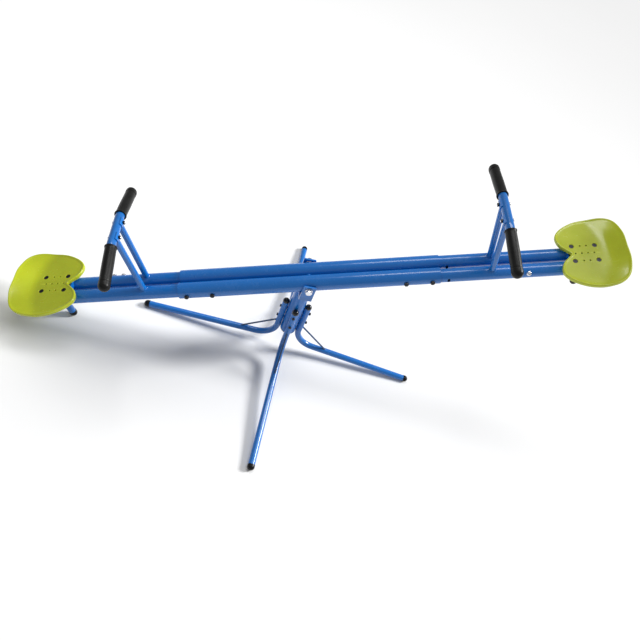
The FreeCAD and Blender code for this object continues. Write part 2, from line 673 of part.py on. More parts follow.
def side_screw_seats():
    """Where each side screw's line leaves its end tube, and its outward direction."""
    lift = math.radians(number("sizes.side_screw_lift"))
    out = Vector(0, NEAR * math.cos(lift), math.sin(lift))
    for pitch in ("0", "sizes.side_screw_pitch"):
        middle = point(f"sizes.side_screw_reach + {pitch}", NEAR * number(SPACING) / 2, 0)
        yield tuple(middle + out * number(f"{END_DIAMETER} / 2")), tuple(out)


def end_tube(side):
    """One tube of an end frame, with slots for its joint bolts in both positions; one side is drilled
    for the side screws' rivet nuts."""
    middle = side * number(SPACING) / 2
    slack = number(TUBES_HALF_WIDTH) * math.sin(math.radians(max(abs(LEFT_ROLL), abs(RIGHT_ROLL))))
    holes = []
    for station in JOINT_STATIONS:
        for pulled in ("0", "sizes.right_pull"):
            holes.append(slot(f"{station} - {pulled}", middle, slack))
    if side == NEAR:
        for seat, out in side_screw_seats():
            start = stepped_back(seat, out, "sizes.rivet_nut_length")
            holes.append(cylinder("sizes.rivet_nut_diameter + 2 * sizes.plug_play",
                                  "2 * sizes.rivet_nut_length", start, out))
    inner_end = f"{TUBE_END} - sizes.end_tube_overlap"
    return tube(END_DIAMETER, "sizes.end_tube_wall", "sizes.end_tube_length",
                (inner_end, middle, 0), OUT, holes)


END_TUBE_TIP = f"({TUBE_END} - sizes.end_tube_overlap + sizes.end_tube_length)"
END_BORE = f"({END_DIAMETER} - 2 * sizes.end_tube_wall)"


def end_plugs():
    pieces = []
    for end in ENDS:
        for side in (NEAR, FAR):
            piece = plug(END_DIAMETER, END_BORE, "sizes.flat_plug_head",
                         (END_TUBE_TIP, side * number(SPACING) / 2, 0), OUT)
            pieces.append(placed(piece, ROLL_FRAMES[end]))
    return pieces


def joint_fasteners():
    """Bolts across both centre tubes, which pin both end tubes."""
    bolts, nuts = [], []
    for end in (-1, 1):
        for station in JOINT_STATIONS:
            along_beam = end * number(station)
            bolts.append(button_bolt("sizes.joint_bolt_diameter",
                                     f"2 * {TUBES_HALF_WIDTH} + sizes.joint_bolt_diameter",
                                     (along_beam, f"{TUBES_HALF_WIDTH}", 0), backwards(ACROSS)))
            nuts.append(nut("sizes.joint_bolt_diameter", (along_beam, f"-{TUBES_HALF_WIDTH}", 0),
                            backwards(ACROSS)))
    return bolts, nuts


def rivet_nut(seat, out):
    """A nut riveted into a tube's wall: its flange is coped to the tube, its body is inside."""
    deep, flange = "sizes.rivet_nut_length", "sizes.rivet_nut_flange_thickness"
    inner = stepped_back(seat, out, deep)
    body = cylinder("sizes.rivet_nut_diameter", deep, inner, out)
    flange_start = stepped_back(seat, out, "sizes.end_tube_wall")
    disc = cylinder("sizes.rivet_nut_flange_diameter", f"sizes.end_tube_wall + {flange}", flange_start, out)
    tube_room = cylinder(f"{END_DIAMETER} + 2 * sizes.running_fit", "4 * sizes.rivet_nut_flange_diameter",
                         (f"{seat[0]} - 2 * sizes.rivet_nut_flange_diameter", f"-{SPACING} / 2", 0), OUT)
    bore = cylinder("sizes.side_screw_diameter + 2 * sizes.running_fit", f"{deep} + {flange}", inner, out)
    return cut(fuse(body, cut(disc, tube_room)), bore)


def side_screw(seat, out):
    """A round-headed screw on the rivet nut's flange."""
    start = stepped_back(seat, backwards(out), "sizes.rivet_nut_flange_thickness")
    return button_bolt("sizes.side_screw_diameter", "sizes.side_screw_length", start, backwards(out))


for end_name in ENDS:
    for side_name in SIDES:
        own_side = OWN_SIDE[end_name][side_name]
        part(f"end_tube_{end_name}_{side_name}", end_tube(own_side), ROLL_FRAMES[end_name])
part("end_tube_plugs", group(end_plugs()), BASE)
joint_bolts, joint_nuts = joint_fasteners()
part("joint_bolts", group(joint_bolts), BEAM)
part("joint_nuts", group(joint_nuts), BEAM)
side_seats = [(end, seat, out) for end in ENDS for seat, out in side_screw_seats()]
part("side_screws", group([placed(side_screw(seat, out), ROLL_FRAMES[end]) for end, seat, out in side_seats]),
     BASE)
part("rivet_nuts", group([placed(rivet_nut(seat, out), ROLL_FRAMES[end]) for end, seat, out in side_seats]),
     BASE)


# ---------------------------------------------------------------- handles

BAR_X = "(sizes.handle_reach + sizes.bar_offset)"
SADDLE_BORE = "(sizes.bar_diameter + 2 * sizes.saddle_clearance)"
SADDLE_DIAMETER = f"({SADDLE_BORE} + 2 * sizes.saddle_thickness)"
BAR_BOLT_HOLE = "(sizes.bar_bolt_diameter + sizes.bolt_hole_play)"
BAR_BOLT_Y = "(sizes.handle_post_top_spread / 2)"


def handle_post(side):
    """A post coped onto its end tube, with a saddle for the handlebar welded to its top."""
    foot_y = side * number(SPACING) / 2
    top_y = side * number(BAR_BOLT_Y)
    bottom = point("sizes.handle_reach", foot_y, 0)
    run = point("sizes.handle_reach", top_y, "sizes.bar_height") - bottom
    length = run.Length
    post = tube("sizes.handle_post_diameter", "sizes.handle_post_wall", length, tuple(bottom),
                tuple(run.normalize()))
    radius = f"({SADDLE_DIAMETER} / 2)"
    saddle_y = top_y - number("sizes.saddle_width") / 2
    ring = cylinder(SADDLE_DIAMETER, "sizes.saddle_width", (BAR_X, saddle_y, "sizes.bar_height"), ACROSS)
    lower_inner = box((f"{radius} + sizes.bar_offset / 2", "sizes.saddle_width",
                       f"{radius} + sizes.saddle_rise"),
                      (f"{BAR_X} - {radius}", saddle_y, f"sizes.bar_height - {radius}"))
    saddle = common(ring, lower_inner)
    room = "(4 * sizes.handle_post_diameter)"
    half_room = number(room) / 2
    bar_room = cylinder(SADDLE_BORE, room, (BAR_X, top_y - half_room, "sizes.bar_height"), ACROSS)
    above_saddle = box((room, room, room), (f"{BAR_X} - {half_room}", top_y - half_room,
                                            "sizes.bar_height + sizes.saddle_rise"))
    end_tube_room = cylinder(f"{END_DIAMETER} + 2 * sizes.running_fit", room,
                             (f"sizes.handle_reach - {half_room}", foot_y, 0), OUT)
    bolt_hole = cylinder(BAR_BOLT_HOLE, room, (f"{BAR_X} - {half_room}", top_y, "sizes.bar_height"), OUT)
    return cut(fuse(post, saddle), bar_room, above_saddle, end_tube_room, bolt_hole)


DROOP = "(sizes.bar_droop * 1 deg)"
PAST_BEND = f"(sizes.bar_reach - sizes.bar_straight / 2 - sizes.bar_bend_radius * sin({DROOP}))"
BAR_STEPS = [("straight", "sizes.bar_straight / 2"), ("bend", "sizes.bar_bend_radius", DROOP, 1),
             ("straight", f"{PAST_BEND} / cos({DROOP})")]


def handlebar():
    start = (BAR_X, 0, "sizes.bar_height")
    outers, inners = [], []
    for direction in (backwards(ACROSS), ACROSS):
        outer, inner = bent_tube("sizes.bar_diameter", "sizes.bar_wall", start, direction, DOWN, BAR_STEPS)
        outers.append(outer)
        inners.append(inner)
    holes = [cylinder(BAR_BOLT_HOLE, "2 * sizes.bar_diameter",
                      (f"{BAR_X} - sizes.bar_diameter", side * number(BAR_BOLT_Y), "sizes.bar_height"), OUT)
             for side in (NEAR, FAR)]
    return cut(fuse(*outers), *inners, *holes)


def bar_end(side):
    """The end of the bar's tube and the direction in which it points."""
    droop = math.radians(number("sizes.bar_droop"))
    drop = f"sizes.bar_bend_radius * (1 - cos({DROOP})) + {PAST_BEND} * tan({DROOP})"
    end = point(BAR_X, side * number("sizes.bar_reach"), f"sizes.bar_height - ({drop})")
    return end, Vector(0, side * math.cos(droop), -math.sin(droop))


def grip(side):
    """A rubber grip with a round closed end and a collar at its inner end."""
    end, direction = bar_end(side)
    heading = tuple(direction)
    mouth = tuple(end - direction * number("sizes.grip_length"))
    outer = fuse(cylinder("sizes.grip_diameter", "sizes.grip_length", mouth, heading),
                 cylinder("sizes.grip_collar_diameter", "sizes.grip_collar_width", mouth, heading),
                 ball("sizes.grip_diameter", tuple(end)))
    bore = cylinder("sizes.bar_diameter + 2 * sizes.grip_play", "sizes.grip_length", mouth, heading)
    return cut(outer, bore)


def bar_fasteners():
    """Bolts through the handlebar and the posts' saddles, with their heads towards the rider."""
    bolts, nuts = [], []
    for end in ENDS:
        for side in (NEAR, FAR):
            across = side * number(BAR_BOLT_Y)
            start = (f"{BAR_X} + sizes.bar_diameter / 2", across, "sizes.bar_height")
            back = (f"{BAR_X} - {SADDLE_DIAMETER} / 2", across, "sizes.bar_height")
            length = f"sizes.bar_diameter / 2 + {SADDLE_DIAMETER} / 2 + sizes.bar_bolt_diameter"
            bolt = button_bolt("sizes.bar_bolt_diameter", length, start, backwards(OUT))
            bolts.append(placed(bolt, ROLL_FRAMES[end]))
            nuts.append(placed(nut("sizes.bar_bolt_diameter", back, backwards(OUT)), ROLL_FRAMES[end]))
    return bolts, nuts


for end_name in ENDS:
    for side_name in SIDES:
        own_side = OWN_SIDE[end_name][side_name]
        part(f"handle_post_{end_name}_{side_name}", handle_post(own_side), ROLL_FRAMES[end_name])
        part(f"grip_{end_name}_{side_name}", grip(own_side), ROLL_FRAMES[end_name])
    part(f"handlebar_{end_name}", handlebar(), ROLL_FRAMES[end_name])
bar_bolts, bar_nuts = bar_fasteners()
part("handlebar_bolts", group(bar_bolts), BASE)
part("handlebar_nuts", group(bar_nuts), BASE)


# ---------------------------------------------------------------- seats

PAN_UNDERSIDE = "(sizes.seat_height - sizes.seat_wall)"
BRACKET_UNDERSIDE = f"({PAN_UNDERSIDE} - sizes.bracket_thickness)"
SEAT_BOLT_HOLE = "(sizes.seat_bolt_diameter + sizes.bolt_hole_play)"


def seat_outline():
    """Half of the seat's outline, from the notch round a lobe to the middle of the back, as (along, across).

    Its points are shares of the seat's own length, notch and half width.
    """
    front, back = number("sizes.seat_front"), number("sizes.seat_back")
    notch, half = number("sizes.seat_notch"), number("sizes.seat_half_width")
    return [(-front + notch, 0), (-front + 0.7 * notch, 0.1 * half), (-front + 0.25 * notch, 0.235 * half),
            (-front, 0.425 * half), (-0.96 * front, 0.61 * half), (-0.66 * front, 0.8 * half),
            (-0.13 * front, 0.954 * half), (0.347 * back, half), (0.69 * back, 0.952 * half),
            (0.913 * back, 0.771 * half), (1.008 * back, 0.415 * half), (back, 0)]


def seat_rise(x, y):
    """Height of the seat's upper surface over its flat pan."""
    half, flat_half = number("sizes.seat_half_width"), number("sizes.seat_flat_half_width")
    side = max(0.0, (abs(y) - flat_half) / (half - flat_half))
    outward = (y / half) ** 2
    crease, soft = number("sizes.seat_crease_reach"), number("sizes.seat_crease_length")
    run = max(0.0, x - crease + number("sizes.seat_crease_sweep") * outward)
    ramp = run * run / (2 * soft) if run < soft else run - soft / 2
    full_ramp = number("sizes.seat_back") - crease - soft / 2
    steepness = number("sizes.seat_back_rise") / full_ramp / (1 + number("sizes.seat_back_fall") * outward)
    return number("sizes.seat_side_rise") * side ** 2 + steepness * ramp


# The seat's rings: how many points each has, how square the flat pan's corners are, the least ratio of the
# rim's distance to the pan's, and how far out the rings between the pan and the rim lie.
RING_POINTS = 48
PAN_SQUARENESS = 4
RIM_TO_PAN = 1.2
RING_SHARES = (0, 0.15, 0.3, 0.45, 0.6, 0.72, 0.82, 0.91)


def closed_spline(points):
    curve = Part.BSplineCurve()
    curve.interpolate(Points=points, PeriodicFlag=True)
    return Part.Wire([curve.toShape()])


def seat_solid():
    """The moulded shell: a loft through closed rings, from the flat pan out to the rim and back under it."""
    half_outline = seat_outline()
    outline = half_outline + [(x, -y) for x, y in reversed(half_outline[1:-1])]
    rim = Part.BSplineCurve()
    rim.interpolate(Points=[Vector(x, y, 0) for x, y in outline], PeriodicFlag=True)
    knots = [rim.FirstParameter + (rim.LastParameter - rim.FirstParameter) * step / RING_POINTS
             for step in range(RING_POINTS)]
    edge = [rim.value(knot) for knot in knots]
    inward = [Vector(0, 0, 1).cross(rim.tangent(knot)[0]) for knot in knots]
    if inward[0].x < 0:
        inward = [-each for each in inward]
    pan_along = number("sizes.seat_bolt_along / 2 + sizes.seat_pan_margin")
    pan_across = number("sizes.seat_bolt_across / 2 + sizes.seat_pan_margin")
    flat = []
    for spot in edge:
        far_out = abs(spot.x / pan_along) ** PAN_SQUARENESS + abs(spot.y / pan_across) ** PAN_SQUARENESS
        flat.append(spot / max(RIM_TO_PAN, far_out ** (1 / PAN_SQUARENESS)))
    wall, skirt = number("sizes.seat_wall"), number("sizes.seat_skirt")

    def ring(share, inset, below):
        spots = []
        for flat_spot, spot, normal in zip(flat, edge, inward):
            across = flat_spot * (1 - share) + (spot + normal * inset) * share
            rise = seat_rise(across.x, across.y) if share else 0.0
            spots.append(Vector(across.x, across.y, rise - below))
        return closed_spline(spots)

    lip = wall / 2
    rings = [ring(share, lip, 0) for share in RING_SHARES]
    rings += [ring(1, lip, 0), ring(1, 0, lip), ring(1, 0, skirt), ring(1, wall, skirt)]
    rings += [ring(share, wall, wall) for share in (1, *reversed(RING_SHARES))]
    return Part.makeLoft(rings, True, True)


def seat_holes():
    """Counterbored holes for the four seat bolts, and eight drain holes between them."""
    wall = number("sizes.seat_wall")
    along_half, across_half = number("sizes.seat_bolt_along") / 2, number("sizes.seat_bolt_across") / 2
    head_radius = number("sizes.seat_bolt_head_diameter + sizes.bolt_hole_play") / 2
    head_height = number("sizes.seat_bolt_head_height")

    def through(diameter, x, y):
        return Part.makeCylinder(number(diameter) / 2, 3 * wall, Vector(x, y, -2 * wall))

    tools = []
    for x in (-along_half, along_half):
        for y in (-across_half, across_half):
            tools.append(through(SEAT_BOLT_HOLE, x, y))
            tools.append(Part.makeCylinder(head_radius, 2 * head_height, Vector(x, y, -head_height)))
    pitch = number("sizes.drain_hole_pitch")
    places = [(x, y) for x in (-pitch / 2, pitch / 2) for y in (-across_half, 0, across_half)]
    places += [(-1.5 * pitch, 0), (1.5 * pitch, 0)]
    return tools + [through("sizes.drain_hole_diameter", x, y) for x, y in places]


def seat_tube_rooms():
    """Room for the two end tubes in the seat's turned-down rim."""
    radius = number(f"{END_DIAMETER} / 2 + sizes.seat_tube_clearance")
    reach = number("sizes.seat_front + sizes.seat_back")
    height = number("sizes.seat_height")
    return [Part.makeCylinder(radius, 2 * reach, Vector(-reach, side * number(SPACING) / 2, -height),
                              Vector(*OUT)) for side in (NEAR, FAR)]


def seat():
    made = doc.addObject("Part::Feature", "Seat")
    made.Shape = seat_solid().cut(seat_holes() + seat_tube_rooms())
    made.Placement = Placement(point("sizes.seat_reach", 0, "sizes.seat_height"), Rotation())
    return made


def seat_bracket():
    """A plate on two cross flanges that straddle the end tubes."""
    size = ("sizes.bracket_length", "sizes.bracket_width", "sizes.bracket_thickness")
    corner_x = "(sizes.seat_reach - sizes.bracket_length / 2)"
    corner_y = "-sizes.bracket_width / 2"
    plate = box(size, (corner_x, corner_y, BRACKET_UNDERSIDE))
    flange_size = ("sizes.bracket_thickness", "sizes.bracket_width",
                   f"{BRACKET_UNDERSIDE} - sizes.bracket_flange_start")
    inner = box(flange_size, (corner_x, corner_y, "sizes.bracket_flange_start"))
    outer = box(flange_size, (f"{corner_x} + sizes.bracket_length - sizes.bracket_thickness", corner_y,
                              "sizes.bracket_flange_start"))
    rooms = [cylinder(f"{END_DIAMETER} + 2 * sizes.running_fit", "sizes.bracket_length",
                      (corner_x, side * number(SPACING) / 2, 0), OUT) for side in (NEAR, FAR)]
    holes = [cylinder(SEAT_BOLT_HOLE, "3 * sizes.bracket_thickness",
                      (x, y, f"{BRACKET_UNDERSIDE} - sizes.bracket_thickness"))
             for x, y in seat_bolt_places()]
    notch_rim = "(sizes.seat_front - sizes.seat_notch - sizes.seat_wall - sizes.bracket_relief_clearance)"
    relief_top = "(sizes.seat_skirt + sizes.bracket_relief_clearance)"
    relief = box((f"sizes.bracket_length / 2 - {notch_rim}", "sizes.bracket_relief_width", relief_top),
                 (corner_x, "-sizes.bracket_relief_width / 2", f"sizes.seat_height - {relief_top}"))
    return cut(fuse(plate, inner, outer), *rooms, *holes, relief)


def seat_bolt_places():
    return [(f"sizes.seat_reach + {x} * sizes.seat_bolt_along / 2", f"{y} * sizes.seat_bolt_across / 2")
            for x in (-1, 1) for y in (-1, 1)]


def seat_fasteners():
    bolts, nuts = [], []
    head = "(sizes.seat_height - sizes.seat_bolt_head_height)"
    length = f"{head} - {BRACKET_UNDERSIDE} + {NUT_HEIGHT} * sizes.seat_bolt_diameter"
    for end in ENDS:
        for x, y in seat_bolt_places():
            shank = cylinder("sizes.seat_bolt_diameter", length, (x, y, head), DOWN)
            disc = cylinder("sizes.seat_bolt_head_diameter", "sizes.seat_bolt_head_height", (x, y, head))
            socket = hex_prism(f"{SOCKET_ACROSS_FLATS} * sizes.seat_bolt_diameter",
                               "sizes.seat_bolt_head_height / 2", (x, y, "sizes.seat_height"), DOWN)
            bolts.append(placed(fuse(cut(disc, socket), shank), ROLL_FRAMES[end]))
            nuts.append(placed(nut("sizes.seat_bolt_diameter", (x, y, BRACKET_UNDERSIDE), DOWN),
                               ROLL_FRAMES[end]))
    return bolts, nuts


for end_name in ENDS:
    part(f"seat_{end_name}", seat(), ROLL_FRAMES[end_name])
    part(f"seat_bracket_{end_name}", seat_bracket(), ROLL_FRAMES[end_name])
seat_bolts, seat_nuts = seat_fasteners()
part("seat_bolts", group(seat_bolts), BASE)
part("seat_nuts", group(seat_nuts), BASE)


# ---------------------------------------------------------------- bumper feet

BUMPER_CAP_RADIUS = "(sizes.bumper_diameter / 2 + sizes.plug_lip)"


def bumper_depth():
    """Beam axis down to the middle of the cap's round end, so that the left cap just stands on the ground."""
    tilt = math.radians(number("sizes.beam_tilt"))
    height = number("sizes.pivot_height") - number(BUMPER_CAP_RADIUS)
    fall = number("sizes.bumper_reach") * math.sin(tilt)
    return (height - fall) / math.cos(tilt) / math.cos(math.radians(LEFT_ROLL))


def bumper():
    """A tube on a plate that is welded under both end tubes."""
    tube_bottom = number(END_DIAMETER) / 2
    plate = box(("sizes.bumper_plate_length", "sizes.bumper_plate_width", "sizes.bumper_plate_thickness"),
                ("sizes.bumper_reach - sizes.bumper_plate_length / 2", "-sizes.bumper_plate_width / 2",
                 f"-{tube_bottom} - sizes.bumper_plate_thickness"))
    start = ("sizes.bumper_reach", 0, f"-{tube_bottom} - sizes.bumper_plate_thickness")
    length = bumper_depth() - tube_bottom - number("sizes.bumper_plate_thickness + sizes.bumper_cap_head")
    leg_tube = cylinder("sizes.bumper_diameter", f"{length}", start, DOWN)
    bore = cylinder("sizes.bumper_diameter - 2 * sizes.bumper_wall", f"{length}", start, DOWN)
    return cut(fuse(plate, leg_tube), bore)


def bumper_cap():
    seat = ("sizes.bumper_reach", 0, -bumper_depth() + number("sizes.bumper_cap_head"))
    return domed_plug("sizes.bumper_diameter", "sizes.bumper_wall", "sizes.bumper_cap_head", seat, DOWN)


for end_name in ENDS:
    part(f"bumper_{end_name}", bumper(), ROLL_FRAMES[end_name])
    part(f"bumper_cap_{end_name}", bumper_cap(), ROLL_FRAMES[end_name])


# ---------------------------------------------------------------- checks and export

doc.recompute()
for item in doc.Objects:
    if "Invalid" in item.State or "Error" in item.State:
        raise RuntimeError(f"{item.Label} did not rebuild: {item.State}")
os.makedirs("parts", exist_ok=True)
for label, item in parts.items():
    shape = item.Shape
    if shape.isNull() or not shape.isValid() or not shape.Solids:
        raise RuntimeError(f"{label} has no valid solid")
for label, item in parts.items():
    item.Shape.exportStep(f"parts/{label}.step")
print(len(parts), "sub-parts written")
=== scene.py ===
"""The looks of a children's swivelling seesaw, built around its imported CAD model.

Metres, +Z up, with the origin on the ground under the swivel axis. The beam runs along X, its right (+X) end
is raised, and "near" is the -Y side.
"""

import json
import math

import bmesh
import bpy
from mathutils import Matrix, Vector


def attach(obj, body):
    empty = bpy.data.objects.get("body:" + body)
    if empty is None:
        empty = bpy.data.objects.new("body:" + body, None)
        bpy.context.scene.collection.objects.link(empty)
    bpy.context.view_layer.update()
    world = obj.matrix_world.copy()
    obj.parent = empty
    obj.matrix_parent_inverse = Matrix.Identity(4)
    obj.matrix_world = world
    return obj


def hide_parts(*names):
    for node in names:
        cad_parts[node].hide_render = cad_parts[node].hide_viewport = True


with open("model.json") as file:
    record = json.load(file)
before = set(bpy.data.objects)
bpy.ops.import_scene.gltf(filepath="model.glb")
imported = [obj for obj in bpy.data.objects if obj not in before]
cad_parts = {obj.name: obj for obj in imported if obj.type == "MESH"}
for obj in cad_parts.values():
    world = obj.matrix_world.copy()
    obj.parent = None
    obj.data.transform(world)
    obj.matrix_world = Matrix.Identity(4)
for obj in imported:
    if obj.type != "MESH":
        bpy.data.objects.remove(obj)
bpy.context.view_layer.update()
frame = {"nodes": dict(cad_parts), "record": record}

MM = 0.001
ENDS = ("left", "right")
LEGS = ("right", "rear", "left", "front")
SLOTS = {row["node"]: row["material_slot"] for row in frame["record"]["subparts"]}


# ---------------------------------------------------------------- shader expressions

class Wire:
    """A socket of a material's node tree, which Python arithmetic extends with Math nodes."""

    def __init__(self, tree, socket):
        self.tree = tree
        self.socket = socket

    def node(self, kind, settings=None, **inputs):
        """Adds a node, sets its settings, then gives its inputs values or links. Returns the node."""
        made = self.tree.nodes.new(kind)
        for name, value in (settings or {}).items():
            if name == "stops":
                set_stops(made.color_ramp, value)
            else:
                setattr(made, name, value)
        for name, value in inputs.items():
            self.feed(pick(made.inputs, name), value)
        return made

    def feed(self, socket, value):
        if isinstance(value, Wire):
            self.tree.links.new(value.socket, socket)
        else:
            socket.default_value = value

    def out(self, made, name=0):
        return Wire(self.tree, pick(made.outputs, name))

    def math(self, operation, *values):
        made = self.tree.nodes.new("ShaderNodeMath")
        made.operation = operation
        for socket, value in zip(made.inputs, values):
            self.feed(socket, value)
        return Wire(self.tree, made.outputs[0])

    def __add__(self, other):
        return self.math("ADD", self, other)

    def __radd__(self, other):
        return self.math("ADD", other, self)

    def __sub__(self, other):
        return self.math("SUBTRACT", self, other)

    def __rsub__(self, other):
        return self.math("SUBTRACT", other, self)

    def __mul__(self, other):
        return self.math("MULTIPLY", self, other)

    def __rmul__(self, other):
        return self.math("MULTIPLY", other, self)

    def band(self, low, high):
        """0 below low, 1 above high and a smooth step between them."""
        made = self.node("ShaderNodeMapRange", {"interpolation_type": "SMOOTHSTEP"},
                         Value=self, From_Min=low, From_Max=high)
        return self.out(made, "Result")


def pick(sockets, name):
    """A socket by its place or by its name, in which an underscore may stand for a space."""
    if isinstance(name, int):
        return sockets[name]
    names = (name, name.replace("_", " "))
    return next(socket for socket in sockets if socket.name in names and socket.enabled)


def set_stops(ramp, stops):
    while len(ramp.elements) > 1:
        ramp.elements.remove(ramp.elements[-1])
    for index, (place, colour) in enumerate(stops):
        element = ramp.elements[0] if index == 0 else ramp.elements.new(place)
        element.position = place
        element.color = colour


# Places of a Mix node's two colour inputs and of its colour output, whose names it shares with others.
MIX_COLOURS = (6, 7)
MIX_RESULT = 2


class Finish:
    """A new material, with the texture, colour and bump nodes that its finishes share."""

    def __init__(self, name, **shader):
        self.material = bpy.data.materials.new(name)
        self.material.use_nodes = True
        self.tree = self.material.node_tree
        self.bsdf = self.tree.nodes["Principled BSDF"]
        self.wire = Wire(self.tree, None)
        self.places = self.output("ShaderNodeTexCoord", "Object")
        for name_, value in shader.items():
            pick(self.bsdf.inputs, name_).default_value = value

    def output(self, kind, result=0, settings=None, **inputs):
        return self.wire.out(self.wire.node(kind, settings, **inputs), result)

    def noise(self, scale, detail=3.0, places=None):
        return self.output("ShaderNodeTexNoise", 0, Vector=places or self.places, Scale=scale, Detail=detail)

    def grain(self, scale):
        """Round cells, 0 at their middles."""
        return self.output("ShaderNodeTexVoronoi", "Distance", Vector=self.places, Scale=scale)

    def mix(self, factor, first, second):
        """The first colour at factor 0 and the second at 1."""
        made = self.wire.node("ShaderNodeMix", {"data_type": "RGBA"}, Factor=factor)
        self.wire.feed(made.inputs[MIX_COLOURS[0]], first)
        self.wire.feed(made.inputs[MIX_COLOURS[1]], second)
        return Wire(self.tree, made.outputs[MIX_RESULT])

    def edges(self):
        """How strongly the surface bends outwards, about 0.5 where it is flat."""
        return self.output("ShaderNodeNewGeometry", "Pointiness")

    def faces_up(self):
        """The upward part of the surface's direction, from -1 to 1."""
        made = self.wire.node("ShaderNodeNewGeometry")
        split = self.wire.node("ShaderNodeSeparateXYZ", Vector=self.wire.out(made, "Normal"))
        return self.wire.out(split, "Z")

    def bump(self, height, distance, strength=1.0, under=None):
        made = self.wire.node("ShaderNodeBump", Height=height, Distance=distance, Strength=strength)
        if under is not None:
            self.wire.feed(made.inputs["Normal"], under)
        return self.wire.out(made, "Normal")

    def use(self, **inputs):
        for name, value in inputs.items():
            self.wire.feed(pick(self.bsdf.inputs, name), value)
        return self.material


def shade(colour, share):
    """A colour made darker (share below 1) or lighter, as a shader colour."""
    return tuple(min(1.0, part * share) for part in colour[:3]) + (1.0,)


# ---------------------------------------------------------------- finishes

def powder_coat(name, colour):
    """Gloss powder coat: a faint orange peel, thinner paint on edges and a little dust on what faces up."""
    finish = Finish(name, Coat_Weight=0.3, Coat_Roughness=0.06, IOR=1.5)
    patches = finish.noise(9.0, 4.0)
    scuffs = finish.noise(260.0, 2.0).band(0.62, 0.7)
    paint = finish.mix(patches.band(0.35, 0.65), shade(colour, 0.97), shade(colour, 1.03))
    thin = finish.edges().band(0.53, 0.6)
    paint = finish.mix(thin * 0.3, paint, shade(colour, 1.7))
    dust = finish.faces_up().band(0.2, 1.0) * finish.noise(38.0, 5.0).band(0.45, 0.75)
    paint = finish.mix(dust * 0.012, paint, (0.75, 0.76, 0.74, 1.0))
    roughness = 0.2 + patches * 0.06 + scuffs * 0.06 + dust * 0.08
    peel = finish.noise(420.0, 1.0)
    normal = finish.bump(peel, 0.00005, 0.35)
    return finish.use(Base_Color=paint, Roughness=roughness, Normal=normal)


def moulded_plastic(name, colour, light, gloss=0.22):
    """Glossy moulded plastic with a fine spark-eroded grain, soft flow marks and a painted highlight: its
    convex rims and lips are mixed halfway towards the lighter colour light.
    """
    finish = Finish(name, Coat_Weight=0.2, Coat_Roughness=0.1, IOR=1.46,
                    Subsurface_Weight=0.06, Subsurface_Scale=0.004)
    flow = finish.noise(14.0, 5.0).band(0.3, 0.7)
    tint = finish.mix(flow, shade(colour, 0.95), shade(colour, 1.05))
    # painted highlight: convex rims and lips are mixed halfway towards the lighter colour light, standing in
    # for the bright band that a rolled lip catches
    rim = finish.edges().band(0.51, 0.56)
    tint = finish.mix(rim * 0.5, tint, light)
    grain = finish.grain(1500.0)
    marks = finish.noise(120.0, 3.0).band(0.6, 0.75)
    normal = finish.bump(grain, 0.00003, 0.25)
    return finish.use(Base_Color=tint, Roughness=gloss + flow * 0.05 + marks * 0.08, Normal=normal)


def soft_rubber(name, colour, roughness, grain_scale, depth):
    """Black rubber with a fine skin, greyed a little where hands or ground rub it."""
    finish = Finish(name, IOR=1.5, Specular_IOR_Level=0.2)
    clouds = finish.noise(45.0, 5.0)
    rubbed = finish.edges().band(0.52, 0.6) * clouds.band(0.35, 0.65)
    tint = finish.mix(clouds.band(0.3, 0.7), shade(colour, 0.8), shade(colour, 1.25))
    tint = finish.mix(rubbed * 0.15, tint, (0.08, 0.08, 0.078, 1.0))
    skin = finish.grain(grain_scale)
    normal = finish.bump(skin, depth, 0.5)
    return finish.use(Base_Color=tint, Roughness=roughness + clouds * 0.12 - rubbed * 0.05, Normal=normal)


def metal(name, colour, roughness, dark=0.5):
    """Plated or bare steel with fine turning marks and a few dull spots."""
    finish = Finish(name, Metallic=1.0)
    spots = finish.noise(170.0, 4.0).band(0.55, 0.72)
    tint = finish.mix(spots * 0.6, (*colour, 1.0), shade(colour, dark))
    marks = finish.noise(900.0, 2.0)
    normal = finish.bump(marks, 0.00003, 0.3)
    return finish.use(Base_Color=tint, Roughness=roughness + spots * 0.15 + marks * 0.06, Normal=normal)


def bare_nylon(name):
    finish = Finish(name, IOR=1.5, Subsurface_Weight=0.15, Subsurface_Scale=0.003)
    clouds = finish.noise(60.0, 4.0)
    tint = finish.mix(clouds.band(0.3, 0.7), (0.72, 0.71, 0.66, 1.0), (0.82, 0.81, 0.77, 1.0))
    return finish.use(Base_Color=tint, Roughness=0.42 + clouds * 0.1,
                      Normal=finish.bump(finish.noise(500.0, 2.0), 0.00004, 0.3))


BLUE = (0.004, 0.125, 0.43)
LIME = (0.42, 0.48, 0.012)

FINISHES = {
    "blue_paint": powder_coat("blue_powder_coat", BLUE),
    "brace_steel": powder_coat("navy_rod_paint", (0.02, 0.05, 0.12)),
    # the third colour of each moulded plastic is the painted highlight on its rims and lips
    "lime_plastic": moulded_plastic("lime_moulded_plastic", LIME, (0.62, 0.68, 0.04, 1.0)),
    "black_grip": soft_rubber("black_grip_rubber", (0.007, 0.0072, 0.0068, 1.0), 0.3, 900.0, 0.0001),
    "black_rubber": soft_rubber("black_cap_rubber", (0.005, 0.005, 0.0055, 1.0), 0.18, 700.0, 0.00005),
    "black_plastic": moulded_plastic("black_cap_plastic", (0.005, 0.005, 0.0055), (0.015, 0.015, 0.016, 1.0),
                                     gloss=0.1),
    "white_nylon": bare_nylon("white_bush_nylon"),
    "bright_steel": metal("bright_zinc_steel", (0.78, 0.78, 0.8), 0.12),
    "dark_steel": metal("black_zinc_steel", (0.045, 0.045, 0.05), 0.36),
    "plain_steel": metal("turned_steel", (0.5, 0.49, 0.48), 0.3),
}


